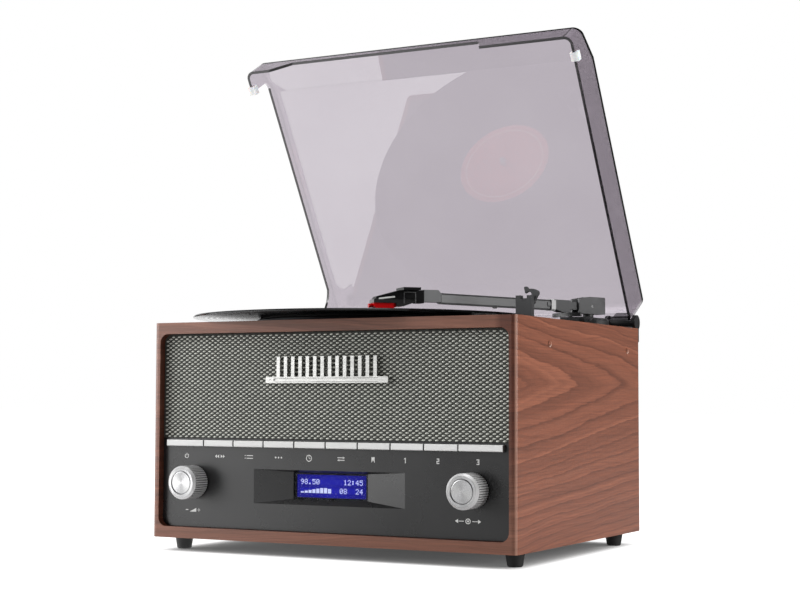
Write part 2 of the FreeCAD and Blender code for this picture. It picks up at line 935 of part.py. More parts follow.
def encoder(side):
    x = side * knob_x
    z = up(knob_z)
    can = box(x - encoder_w / 2, x + encoder_w / 2, encoder_front, board_y, z - encoder_w / 2,
              z + encoder_w / 2)
    bush = rod(bush_d / 2, (x, encoder_front - bush_len, z), (x, encoder_front + 0.5, z))
    pocket = rod(rotor_d / 2 + 0.2, (x, encoder_front + 2.0, z), (x, board_y - 1.0, z))
    bore = rod(shaft_d / 2 + running_gap, (x, encoder_front - bush_len - 1, z), (x, encoder_front + 3.0, z))
    return fuse([can, bush]).cut([pocket, bore])


def shaft(side, length_back):
    x = side * knob_x
    z = up(knob_z)
    body = rod(shaft_d / 2, (x, knob_front_y + 5.0, z), (x, length_back, z))
    flat = box(x - shaft_d, x + shaft_d, knob_front_y + 4.0, knob_front_y + 16.0,
               z + shaft_d / 2 - 1.2, z + shaft_d)
    return body.cut(flat)


def volume_shaft():
    disc = rod(rotor_d / 2, (-knob_x, encoder_front + 2.3, up(knob_z)),
               (-knob_x, encoder_front + 2.3 + rotor_t, up(knob_z)))
    return fuse([shaft(-1, encoder_front + 2.5), disc])


def tune_rotor():
    z = up(knob_z)
    return ring(rotor_d / 2, shaft_d / 2 + running_gap, (knob_x, encoder_front + 2.3, z),
                (knob_x, encoder_front + 2.3 + rotor_t, z))


def tune_shaft():
    return shaft(1, board_y - 1.0 - push_travel - 0.2)


def knob(side):
    x = side * knob_x
    z = up(knob_z)
    r = knob_d / 2
    ring_r = knob_ring_d / 2
    y0 = knob_front_y
    profile = [(0, y0 + 0.35), (ring_r - 0.6, y0 + 0.35), (ring_r, y0 + 0.6), (ring_r + 0.6, y0),
               (r - knob_chamfer, y0), (r, y0 + knob_chamfer), (r, knob_back_y - 0.6),
               (r - 0.6, knob_back_y), (0, knob_back_y)]
    body = revolved_y(profile, (x, z))
    cuts = []
    run = knob_back_y + 1.0 - y0 - knob_plain_front
    for i in range(knob_flutes):
        flute = prism([(r + 0.5, y0 + knob_plain_front, -knob_flute_w * 0.7),
                       (r - knob_flute_depth, y0 + knob_plain_front, 0.0),
                       (r + 0.5, y0 + knob_plain_front, knob_flute_w * 0.7)], (0, run, 0))
        flute.rotate(V(0, 0, 0), V(0, 1, 0), 360.0 * i / knob_flutes)
        flute.translate(V(x, 0, z))
        cuts.append(flute)
    body = body.cut(cuts)
    bore = rod(shaft_d / 2 + press_gap, (x, y0 + 5.0 - press_gap, z), (x, knob_back_y + 1, z))
    flat = box(x - shaft_d, x + shaft_d, y0 + 4.0, y0 + 16.0, z + shaft_d / 2 - 1.2 + press_gap,
               z + shaft_d)
    hollow = ring(r - 3.2, 6.0, (x, y0 + 9.0, z), (x, knob_back_y + 1, z))
    return body.cut([bore.cut(flat), hollow])


# Tonearm; local frame has the pivot at the origin and the beam along -Y, then it is turned

def place_arm(shape):
    shape.rotate(V(0, 0, 0), V(0, 0, 1), -arm_angle)
    shape.translate(V(pivot_x, behind(pivot_back), low))
    return shape


def place_head(shape):
    """Head frame has its origin at the bend and points along -Y."""
    shape.rotate(V(0, 0, 0), V(0, 0, 1), -head_offset)
    shape.translate(V(0, -bend_at, 0))
    return place_arm(shape)


def tonearm_base():
    x = pivot_x
    y = behind(pivot_back)
    r = base_d / 2
    z1 = top + base_h
    profile = [(0, top), (r, top), (r, z1 - 2.4), (r - 0.7, z1 - 1.0), (r - 2.4, z1), (0, z1)]
    disc = revolved(profile, (x, y))
    post = rod(pedestal_d / 2, (x, y, z1 - 0.5), (x, y, up(swivel_bottom) - seat_gap))
    x0, x1, y0, y1 = bracket_box()
    block = box(x0, x1, y0, y1, top, bracket_top())
    lx, ly = lifter_post()
    cuts = [rod(swivel_stem_d / 2 + running_gap, (x, y, top + 1.0), (x, y, up(swivel_bottom) + 1)),
            rod(lifter_post_d / 2 + 0.1, (lx, ly, up(cue_shaft_z)), (lx, ly, bracket_top() + 1)),
            rod(cue_shaft_d / 2 + 0.1, (lx - 4.0, ly, up(cue_shaft_z)), (x1 + 1, ly, up(cue_shaft_z)))]
    return fuse([disc, post, block]).cut(cuts)


def lifter_post():
    a = math.radians(lifter_post_at)
    return pivot_x - lifter_r * math.sin(a), behind(pivot_back) - lifter_r * math.cos(a)


def cue_lifter():
    x = pivot_x
    y = behind(pivot_back)
    z0 = lifter_low()
    z1 = z0 + lifter_t
    sweep = lifter_to - lifter_from
    bar = Part.makeCylinder(lifter_r + lifter_w / 2, z1 - z0, V(x, y, z0), V(0, 0, 1), sweep)
    bar = bar.cut(Part.makeCylinder(lifter_r - lifter_w / 2, z1 - z0, V(x, y, z0), V(0, 0, 1), 360))
    bar.rotate(V(x, y, 0), V(0, 0, 1), 270 - lifter_to)
    ends = []
    for angle in (lifter_from, lifter_to):
        a = math.radians(angle)
        ex = x - lifter_r * math.sin(a)
        ey = y - lifter_r * math.cos(a)
        ends.append(rod(lifter_w / 2, (ex, ey, z0), (ex, ey, z1)))
    lx, ly = lifter_post()
    post = rod(lifter_post_d / 2, (lx, ly, up(cue_shaft_z + cue_flat) + seat_gap), (lx, ly, z0 + 0.5))
    return fuse([bar] + ends + [post])


def cue_lever():
    lx, ly = lifter_post()
    z = up(cue_shaft_z)
    x0 = cue_lever_x - cue_lever_w / 2
    x1 = cue_lever_x + cue_lever_w / 2
    shaft_body = rod(cue_shaft_d / 2, (lx - 3.8, ly, z), (x0 + 0.5, ly, z))
    flat = box(lx - 5.0, lx + 3.0, ly - 4, ly + 4, z + cue_flat, z + 4)
    hub = rod(3.2, (x0, ly, z), (x1, ly, z))
    t = cue_lever_t / 2
    tip = ly - cue_lever_len
    arm = prism([(x0, ly, z - t), (x0, tip, z - t), (x0, tip - 1.6, z + 0.2), (x0, tip - 1.6, z + 2.6),
                 (x0, tip + 0.4, z + 2.6), (x0, tip + 2.4, z + t), (x0, ly, z + t)], (cue_lever_w, 0, 0))
    return fuse([shaft_body.cut(flat), hub, arm])


def tonearm_swivel():
    w = swivel_w / 2
    f = -swivel_len / 2
    r = swivel_len / 2
    side = prism([(-w, f, swivel_bottom), (-w, f, swivel_front_top), (-w, f + swivel_slope_len, swivel_top),
                  (-w, r - 1.0, swivel_top), (-w, r, swivel_top - 1.0), (-w, r, swivel_bottom)],
                 (swivel_w, 0, 0))
    inner = w - cheek_t
    floor = swivel_bottom + swivel_floor_t
    cap = swivel_top - 1.7
    slot_front = box(-inner, inner, f - 1, -3.0, floor, swivel_top + 1)
    slot_rear = box(-inner, inner, -3.5, r - 1.6, floor, cap)
    under_front = box(-inner, inner, f - 1, -6.0, swivel_bottom - 1, floor + 0.1)
    under_rear = box(-inner, inner, 4.0, r - 1.6, swivel_bottom - 1, floor + 0.1)
    pin = rod(lift_pin_d / 2 + running_gap, (-w - 1, 0, arm_z), (w + 1, 0, arm_z))
    stem = rod(swivel_stem_d / 2, (0, 0, height + 1.5), (0, 0, swivel_bottom + 0.5))
    body = fuse([side.cut([slot_front, slot_rear, under_front, under_rear, pin]), stem])
    return place_arm(body)


def lift_pin():
    w = swivel_w / 2
    return place_arm(rod(lift_pin_d / 2, (-w, 0, arm_z), (w, 0, arm_z)))


def beam_wire(y, half_w, half_h):
    """Flattened oval section of the beam."""
    z0 = arm_z - half_h + half_w
    z1 = arm_z + half_h - half_w
    crown = Part.Arc(V(half_w, y, z1), V(0, y, arm_z + half_h), V(-half_w, y, z1))
    keel = Part.Arc(V(-half_w, y, z0), V(0, y, arm_z - half_h), V(half_w, y, z0))
    left = Part.LineSegment(V(-half_w, y, z1), V(-half_w, y, z0))
    right = Part.LineSegment(V(half_w, y, z0), V(half_w, y, z1))
    return Part.Wire([edge.toShape() for edge in (crown, left, keel, right)])


def tonearm_tube():
    far = bend_at - 2.0
    beam = Part.Face(beam_wire(-far, beam_w / 2, beam_h / 2)).extrude(V(0, far - gusset_near - 4.0, 0))
    collar = rod(collar_d / 2, (0, -collar_far, arm_z), (0, -collar_near, arm_z))
    w = gusset_w / 2
    gusset = prism([(-w, -gusset_near, gusset_low), (-w, -gusset_flat, gusset_low),
                    (-w, -collar_near - 0.01, arm_z - 3.6), (-w, -collar_near - 0.01, gusset_high - 0.6),
                    (-w, -collar_near + 0.8, gusset_high), (-w, -gusset_near, gusset_high)], (gusset_w, 0, 0))
    gusset = gusset.makeChamfer(0.6, [e for e in gusset.Edges if abs(e.CenterOfMass.y + gusset_near) < 0.01
                                      and e.BoundBox.ZLength > 5])
    neck = box(-neck_w / 2, neck_w / 2, -gusset_near - 1, 3.0, arm_z - neck_h / 2, arm_z + neck_h / 2)
    pin = rod(lift_pin_d / 2 + running_gap, (-neck_w, 0, arm_z), (neck_w, 0, arm_z))
    return place_arm(fuse([beam, collar, gusset, neck]).cut(pin))


def arm_tail():
    block = box(-neck_w / 2, neck_w / 2, 3.0, swivel_len / 2 - 3.0, arm_z - tail_h / 2, arm_z + tail_h / 2)
    return place_arm(block)


def head_side(width, rear, front, drop):
    """Wedge seen from the side, lowered by drop and as wide as given."""
    h = width / 2
    z = head_under - 1.0 if drop else head_under
    return prism([(-h, -rear, z), (-h, -rear, head_top - drop), (-h, -head_slope_at, head_top - drop),
                  (-h, -front + 1.0, head_front_top - drop), (-h, -front, head_front_top - drop - 1.0),
                  (-h, -front, z)], (width, 0, 0))


def head_plan(wall):
    """Outline from above, narrower to the front, smaller by the wall."""
    h = head_w / 2 - wall
    f = head_front_w / 2 - wall
    rear = -coupling_len - head_collar_len - wall + 1.0
    z = head_under - 2.0
    return prism([(-h, rear, z), (-h, -head_slope_at, z), (-f, -head_len, z), (f, -head_len, z),
                  (h, -head_slope_at, z), (h, rear, z)], (0, 0, head_top - head_under + 4.0))


def headshell():
    """Coupling, collar and wedge of the head, hollow underneath."""
    c = coupling_w / 2
    coupling = prism([(-c, 1.5, coupling_low), (-c, -coupling_len, coupling_low),
                      (-c, -coupling_len, coupling_high), (-c, -1.0, coupling_high),
                      (-c, 1.5, coupling_high - 2.5)], (coupling_w, 0, 0))
    seat = Part.Face(beam_wire(-3.0, beam_w / 2 + press_gap, beam_h / 2 + press_gap)).extrude(V(0, 9, 0))
    seat.rotate(V(0, 0, 0), V(0, 0, 1), head_offset)
    rear = coupling_len + head_collar_len
    collar = box(-c - 0.8, c + 0.8, -rear, -coupling_len + 0.01, coupling_low - 1.2, coupling_high - 0.8)
    shell = head_side(head_w, rear - 0.01, head_len, 0.0).common(head_plan(0.0))
    pocket = head_side(head_w, rear + head_wall, head_len - head_wall, head_wall).common(head_plan(head_wall))
    tab = box(-2.0, head_w / 2 + lift_tab_reach, -rear - lift_tab_len, -rear - 0.5, head_top - 0.1,
              head_top + lift_tab_t)
    body = fuse([coupling, collar, shell, tab])
    return place_head(body.cut([seat, pocket]))


def cartridge():
    """Body under the wedge, and the block that fixes it to the wedge's roof."""
    w = cartridge_w / 2
    body = prism([(-w, -cartridge_rear, head_under), (-w, -cartridge_rear, cartridge_low + 1.2),
                  (-w, -stylus_rear + 6.0, cartridge_heel), (-w, -stylus_rear, cartridge_heel),
                  (-w, -stylus_rear, cartridge_low), (-w, -cartridge_front, cartridge_low),
                  (-w, -cartridge_front, head_under - 1.0), (-w, -head_len, head_under)], (cartridge_w, 0, 0))
    top_block = box(-w + 1.0, w - 1.0, -head_slope_at, -cartridge_rear - 2.0, head_under - 0.5,
                    head_top - head_wall)
    return place_head(fuse([body, top_block]))


def stylus():
    w = stylus_w / 2
    holder = prism([(-w, -stylus_rear - 0.1, stylus_low + 1.0), (-w, -stylus_rear - 0.1, cartridge_low),
                    (-w, -stylus_front, cartridge_low), (-w, -stylus_front, stylus_low + 1.4),
                    (-w, -stylus_front + 2.0, stylus_low), (-w, -stylus_rear - 2.0, stylus_low)],
                   (stylus_w, 0, 0))
    nose = rod(1.7, (0, -stylus_front + 0.3, stylus_low + 2.1), (0, -stylus_front - 3.6, stylus_low + 1.9))
    tip = Part.makeCone(0.25, 0.9, stylus_low + 0.2 - stylus_tip_low, V(0, -stylus_tip_at, stylus_tip_low))
    return place_head(fuse([holder, nose, tip]))


# Arm rest and clip

def arm_rest():
    y = behind(rest_back)
    x0 = rest_x - rest_w / 2
    post = box(x0, x0 + rest_w, y - rest_t / 2, y + rest_t / 2, top, up(rest_top))
    n = notch_w / 2
    notch = prism([(rest_x - n, y - 5, up(rest_top) + 1), (rest_x - n, y - 5, up(notch_bottom) + 0.9),
                   (rest_x - n + 0.9, y - 5, up(notch_bottom)), (rest_x + n - 0.9, y - 5, up(notch_bottom)),
                   (rest_x + n, y - 5, up(notch_bottom) + 0.9), (rest_x + n, y - 5, up(rest_top) + 1)],
                  (0, 10, 0))
    px = rest_x + clip_pivot_dx
    pin_z = up(clip_pivot_z)
    pin = rod(clip_pin_d / 2, (px, y + rest_t / 2 - 0.5, pin_z),
              (px, y + rest_t / 2 + fit_gap + clip_t, pin_z))
    return fuse([post.cut(notch), pin])


def arm_clip():
    """Hook that swings over the notch; the outline is in its open pose about the pin."""
    y = behind(rest_back) + rest_t / 2 + fit_gap
    px = rest_x + clip_pivot_dx
    pz = up(clip_pivot_z)

    def at(dx, dz):
        return V(px + dx, y, pz + dz)

    line = Part.LineSegment
    edges = [line(at(1.9, 0.6), at(4.9, 5.5)).toShape(),
             Part.Arc(at(4.9, 5.5), at(5.3, 7.8), at(3.6, 9.4)).toShape(),
             Part.Arc(at(3.6, 9.4), at(0.2, 10.6), at(-3.6, 10.3)).toShape(),
             line(at(-3.6, 10.3), at(-5.4, 12.6)).toShape(),
             line(at(-5.4, 12.6), at(-7.5, 12.2)).toShape(),
             line(at(-7.5, 12.2), at(-6.4, 6.9)).toShape(),
             line(at(-6.4, 6.9), at(-4.7, 7.9)).toShape(),
             Part.Arc(at(-4.7, 7.9), at(-2.1, 8.0), at(-0.6, 6.3)).toShape(),
             line(at(-0.6, 6.3), at(-1.9, 0.6)).toShape(),
             Part.Arc(at(-1.9, 0.6), at(0.0, -2.0), at(1.9, 0.6)).toShape()]
    hook = Part.Face(Part.Wire(edges)).extrude(V(0, clip_t, 0))
    return hook.cut(rod(clip_pin_d / 2 + running_gap, (px, y - 1, pz), (px, y + clip_t + 1, pz)))


def speed_selector():
    x = selector_x
    y = behind(selector_back)
    cap = box(x - selector_w / 2, x + selector_w / 2, y - selector_len / 2, y + selector_len / 2,
              top + 0.15, top + selector_high)
    grooves = [box(x - selector_w, x + selector_w, y + d - 0.4, y + d + 0.4, top + selector_high - 0.5,
                   top + selector_high + 1) for d in (-2.4, 0.0, 2.4)]
    stem = box(x - selector_stem_w / 2, x + selector_stem_w / 2, y - selector_stem_len / 2,
               y + selector_stem_len / 2, top - deck_t - 3.0, top + 0.3)
    return fuse([cap.cut(grooves), stem])


# Lid; modelled closed and then opened about the hinge axis

lid_y = behind(lid_front_back)
lid_z = top + lid_rim_gap
hinge_y = back + hinge_back
hinge_z = top + hinge_up


def open_lid(shape):
    shape.rotate(V(0, hinge_y, hinge_z), V(-1, 0, 0), lid_open_deg)
    return shape


def lid_body(wall):
    """Solid under the lid's surface, smaller by the wall on every side but the rim."""
    w = wall
    slope = math.atan2(lid_h - lid_front_h, lid_slope_len)
    kink = w * math.tan((math.pi / 2 - slope) / 2)
    top_kink = w * math.tan(slope / 2)
    low_z = lid_z - (1.0 if w else 0.0)
    outline = [(lid_y + w, low_z), (lid_y + w, lid_z + lid_front_h - kink),
               (lid_y + lid_slope_len + top_kink, lid_z + lid_h - w),
               (lid_y + lid_rear_top - w, lid_z + lid_h - w), (lid_y + lid_len - w, lid_z + lid_rear_bulge_h),
               (lid_y + lid_rear_low - w, low_z)]
    side = prism([(-lid_w / 2 + w, y, z) for y, z in outline], (lid_w - 2 * w, 0, 0))
    plan = box(-lid_w / 2 + w, lid_w / 2 - w, lid_y + w, lid_y + lid_len - w, lid_z - 2, lid_z + lid_h + 2)
    plan = plan.makeFillet(max(lid_corner_r - w, 0.5), vertical_edges(plan, lambda c: True))
    return side.common(plan)


def lid_notches():
    r = front_notch_h
    front_cut = prism([(front_notch_left, lid_y - 1, lid_z - 1), (front_notch_left, lid_y - 1, lid_z),
                       (front_notch_left + front_notch_ramp, lid_y - 1, lid_z + r),
                       (front_notch_right - front_notch_step, lid_y - 1, lid_z + r),
                       (front_notch_right, lid_y - 1, lid_z + r * 0.45),
                       (front_notch_right, lid_y - 1, lid_z - 1)], (0, lid_wall + 2, 0))
    x0 = -lid_w / 2 - 1
    y0 = lid_y + left_notch_from
    y1 = lid_y + left_notch_to
    h = left_notch_h
    s = left_notch_step
    start = [V(x0, y0, lid_z - 1), V(x0, y0, lid_z + h - s)]
    bend = V(x0, y0 + s * 0.29, lid_z + h - s * 0.29)
    flat0 = V(x0, y0 + s, lid_z + h)
    flat1 = V(x0, y1 - left_notch_run, lid_z + h)
    fall = V(x0, y1 - left_notch_run * 0.25, lid_z + h * 0.62)
    end = [V(x0, y1, lid_z + 4.0), V(x0, y1, lid_z - 1)]
    edges = [Part.LineSegment(start[0], start[1]).toShape(), Part.Arc(start[1], bend, flat0).toShape(),
             Part.LineSegment(flat0, flat1).toShape(), Part.Arc(flat1, fall, end[0]).toShape(),
             Part.LineSegment(end[0], end[1]).toShape(), Part.LineSegment(end[1], start[0]).toShape()]
    left_cut = Part.Face(Part.Wire(edges)).extrude(V(lid_wall + 4, 0, 0))
    return [front_cut, left_cut]


def lid():
    shell = lid_body(0.0).cut(lid_body(lid_wall))
    cuts = lid_notches()
    for side in (-1, 1):
        x0 = side * (ear_in - hinge_cut_gap)
        x1 = side * (ear_out + hinge_cut_gap)
        cuts.append(rod(ear_r + hinge_cut_gap, (x0, hinge_y, hinge_z), (x1, hinge_y, hinge_z)))
    return open_lid(shell.cut(cuts))


def lid_bumpers():
    pads = []
    for side in (-1, 1):
        outer = side * (lid_w / 2 + (bumper_w - lid_wall) / 2)
        inner = side * (lid_w / 2 - lid_wall - (bumper_w - lid_wall) / 2)
        x0, x1 = sorted((outer, inner))
        y0 = lid_y + bumper_at
        pad = box(x0, x1, y0, y0 + bumper_len, lid_z - bumper_lip, lid_z + bumper_h)
        wall0, wall1 = sorted((side * lid_w / 2, side * (lid_w / 2 - lid_wall)))
        slot = box(wall0 - bumper_clear, wall1 + bumper_clear, y0 - 1, y0 + bumper_len + 1, lid_z,
                   lid_z + bumper_h + 1)
        pads.append(open_lid(pad.cut(slot)))
    return Part.makeCompound(pads)


def hinge_bases():
    bases = []
    for side in (-1, 1):
        x0, x1 = sorted((side * ear_in, side * ear_out))
        plate = box(x0, x1, back, back + hinge_plate_t, up(hinge_plate_low), top)
        ears = []
        for edge in (ear_in, ear_out - ear_t):
            e0, e1 = sorted((side * edge, side * (edge + ear_t)))
            cheek = rod(ear_r, (e0, hinge_y, hinge_z), (e1, hinge_y, hinge_z))
            web = box(e0, e1, back, hinge_y + ear_r * 0.6, top - 12.0, hinge_z)
            ears.append(fuse([cheek, web]))
        keep_off = box(x0 - 1, x1 + 1, back - 30, back, low, top + 0.2)
        base = fuse([plate] + ears).cut(keep_off)
        pin = rod(hinge_pin_d / 2 + running_gap, (x0 - 1, hinge_y, hinge_z), (x1 + 1, hinge_y, hinge_z))
        bases.append(base.cut(pin))
    return Part.makeCompound(bases)


def rear_wall_y(z_above_rim):
    """Outer face of the closed lid's rear wall at a height above the rim."""
    return lid_y + lid_rear_low + (lid_len - lid_rear_low) * z_above_rim / lid_rear_bulge_h


def hinge_arms():
    arms = []
    for side in (-1, 1):
        b_in = ear_in + ear_t + hinge_side_gap
        b_len = ear_span - 2.0 * (ear_t + hinge_side_gap)
        x0, x1 = sorted((side * (b_in + b_len * leaf_from), side * (b_in + b_len * leaf_to)))
        barrel = rod(barrel_r, (side * b_in, hinge_y, hinge_z), (side * (b_in + b_len), hinge_y, hinge_z))
        leaf_low = lid_rim_offset()
        leaf_high = lid_rear_bulge_h
        y0 = rear_wall_y(leaf_low)
        y1 = rear_wall_y(leaf_high)
        leaf = prism([(x0, y0, lid_z + leaf_low), (x0, y1, lid_z + leaf_high),
                      (x0, y1 + leaf_t * 0.5, lid_z + leaf_high), (x0, y1 + leaf_t, lid_z + leaf_high - 2.0),
                      (x0, y0 + leaf_t, lid_z + leaf_low)], (x1 - x0, 0, 0))
        p0, p1 = sorted((side * ear_in, side * ear_out))
        pin = rod(hinge_pin_d / 2, (p0, hinge_y, hinge_z), (p1, hinge_y, hinge_z))
        arms.append(open_lid(fuse([barrel, leaf, pin])))
    return Part.makeCompound(arms)


def lid_rim_offset():
    """Height of the hinge axis above the closed rim."""
    return hinge_z - lid_z


# Rear sockets and the main board

def rear_sockets():
    z = up(socket_z)
    outer = back + socket_flange_t
    plate = box(phono_x - phono_plate_w / 2, phono_x + phono_plate_w / 2, back, outer,
                z - phono_plate_h / 2, z + phono_plate_h / 2)
    barrels = []
    bores = []
    for side in (-1, 1):
        x = phono_x + side * phono_pitch / 2
        barrels.append(rod(phono_d / 2, (x, back - rear_t - 2, z), (x, outer + phono_len, z)))
        bores.append(rod(1.7, (x, outer + 1, z), (x, outer + phono_len + 1, z)))
    phono = fuse([plate] + barrels).cut(bores)
    aux = fuse([rod(aux_d / 2, (aux_x, back - rear_t - 4, z), (aux_x, back + 0.5, z)),
                rod(aux_d / 2 + 1.6, (aux_x, back, z), (aux_x, outer, z))])
    aux = aux.cut(rod(1.8, (aux_x, back - rear_t, z), (aux_x, outer + 1, z)))
    inlet = fuse([rod(dc_d / 2 - 1.0, (dc_x, back - rear_t - 6, z), (dc_x, back + 0.5, z)),
                  rod(dc_d / 2 + 0.5, (dc_x, back, z), (dc_x, outer, z))])
    inlet = inlet.cut(rod(dc_bore_d / 2, (dc_x, back - rear_t - 4, z), (dc_x, outer + 1, z)))
    inlet = fuse([inlet, rod(dc_pin_d / 2, (dc_x, back - rear_t - 5, z), (dc_x, back, z))])
    aerial = fuse([rod(aerial_d / 2, (aerial_x, back - rear_t - 2, z), (aerial_x, outer + aerial_len, z)),
                   rod(aerial_d / 2 + 1.5, (aerial_x, back, z), (aerial_x, outer, z))])
    aerial = aerial.cut(rod(1.2, (aerial_x, outer, z), (aerial_x, outer + aerial_len + 1, z)))
    return Part.makeCompound([phono, aux, inlet, aerial])


def main_board():
    floor = low + bottom_t
    y1 = back - rear_t - main_board_rear_gap
    y0 = y1 - main_board_d
    x0 = -main_board_w / 2
    under = floor + main_board_up
    face = under + board_t
    board = box(x0, -x0, y0, y1, under, face)
    posts = []
    for x in (x0 + main_board_inset, -x0 - main_board_inset):
        for y in (y0 + main_board_inset, y1 - main_board_inset):
            posts.append(rod(main_board_post_d / 2, (x, y, floor), (x, y, under)))
    mid_y = (y0 + y1) / 2
    sx = x0 + heat_sink_in
    sink = box(sx, sx + heat_sink_w, mid_y - heat_sink_d / 2, mid_y + heat_sink_d / 2, face,
               face + heat_sink_h)
    fins = []
    for i in range(4):
        y = mid_y - heat_sink_d / 2 + fin_w * 1.5 + i * fin_pitch
        fins.append(box(sx - 1, sx + heat_sink_w + 1, y, y + fin_w, face + heat_sink_h - fin_depth,
                        face + heat_sink_h + 1))
    can = rod(can_d / 2, (x0 + can_in, mid_y, face), (x0 + can_in, mid_y, face + can_h))
    return fuse([board, can, sink.cut(fins)] + posts)


parts = {
    "front_frame": front_frame(),
    "left_side_panel": side_panel(-1),
    "right_side_panel": side_panel(1),
    "bottom_panel": bottom_panel(),
    "rear_panel": rear_panel(),
    "feet": feet(),
    "deck_plate": deck_plate(),
    "speaker_baffle": speaker_baffle(),
    "grille_cloth": grille_cloth(),
    "badge": badge(),
    "left_speaker": speaker(-1),
    "right_speaker": speaker(1),
    "speaker_cones": speaker_cones(),
    "control_panel": control_panel(),
    "display_window": display_window(),
    "lcd_module": lcd_module(),
    "front_board": front_board(),
    "volume_encoder": encoder(-1),
    "volume_shaft": volume_shaft(),
    "volume_knob": knob(-1),
    "tune_encoder": encoder(1),
    "tune_rotor": tune_rotor(),
    "tune_shaft": tune_shaft(),
    "tune_knob": knob(1),
    "main_board": main_board(),
    "rear_sockets": rear_sockets(),
    "platter_spindle": platter_spindle(),
    "platter": platter(),
    "slipmat": slipmat(),
    "vinyl_record": vinyl_record(),
    "drive_motor": drive_motor(),
    "motor_pulley": motor_pulley(),
    "drive_belt": drive_belt(),
    "tonearm_base": tonearm_base(),
    "tonearm_swivel": tonearm_swivel(),
    "lift_pin": lift_pin(),
    "tonearm_tube": tonearm_tube(),
    "arm_tail": arm_tail(),
    "headshell": headshell(),
    "cartridge": cartridge(),
    "stylus": stylus(),
    "arm_rest": arm_rest(),
    "arm_clip": arm_clip(),
    "cue_lever": cue_lever(),
    "cue_lifter": cue_lifter(),
    "speed_selector": speed_selector(),
    "lid": lid(),
    "lid_bumpers": lid_bumpers(),
    "hinge_bases": hinge_bases(),
    "hinge_arms": hinge_arms(),
}
for number in range(key_count):
    parts["key_%d" % (number + 1)] = key(number)

os.makedirs("parts", exist_ok=True)
for name, shape in parts.items():
    shape.exportStep(os.path.join("parts", name + ".step"))
    print("%-18s solids %d valid %s volume %.1f" % (name, len(shape.Solids), shape.isValid(), shape.Volume))
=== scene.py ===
import math

import bmesh
import bpy
from mathutils import Matrix, Vector

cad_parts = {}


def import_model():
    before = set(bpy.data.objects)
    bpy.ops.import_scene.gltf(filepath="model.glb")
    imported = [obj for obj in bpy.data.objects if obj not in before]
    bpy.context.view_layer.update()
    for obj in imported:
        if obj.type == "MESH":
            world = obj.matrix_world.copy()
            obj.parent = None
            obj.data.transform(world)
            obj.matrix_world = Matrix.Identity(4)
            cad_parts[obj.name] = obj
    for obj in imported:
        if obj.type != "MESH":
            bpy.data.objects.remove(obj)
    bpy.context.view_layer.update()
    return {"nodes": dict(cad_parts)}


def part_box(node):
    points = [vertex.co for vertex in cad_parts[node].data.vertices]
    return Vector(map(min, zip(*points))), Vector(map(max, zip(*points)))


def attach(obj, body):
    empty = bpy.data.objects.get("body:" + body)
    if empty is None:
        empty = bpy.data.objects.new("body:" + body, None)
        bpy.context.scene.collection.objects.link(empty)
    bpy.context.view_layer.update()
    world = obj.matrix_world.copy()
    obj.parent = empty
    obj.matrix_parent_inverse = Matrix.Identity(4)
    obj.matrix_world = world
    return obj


# Looks of a tabletop record player with a radio. Metres, +Z up, +X to the right, +Y to the back.

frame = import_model()
nodes = frame["nodes"]

MM = 0.001
FRONT = -0.135
PANEL = FRONT + 6.5 * MM
LOW = 11.5 * MM


def rgb(r, g, b):
    """Linear colour of an 8-bit display colour."""
    def linear(c):
        c = c / 255.0
        return c / 12.92 if c <= 0.04045 else ((c + 0.055) / 1.055) ** 2.4
    return (linear(r), linear(g), linear(b), 1.0)


# Materials

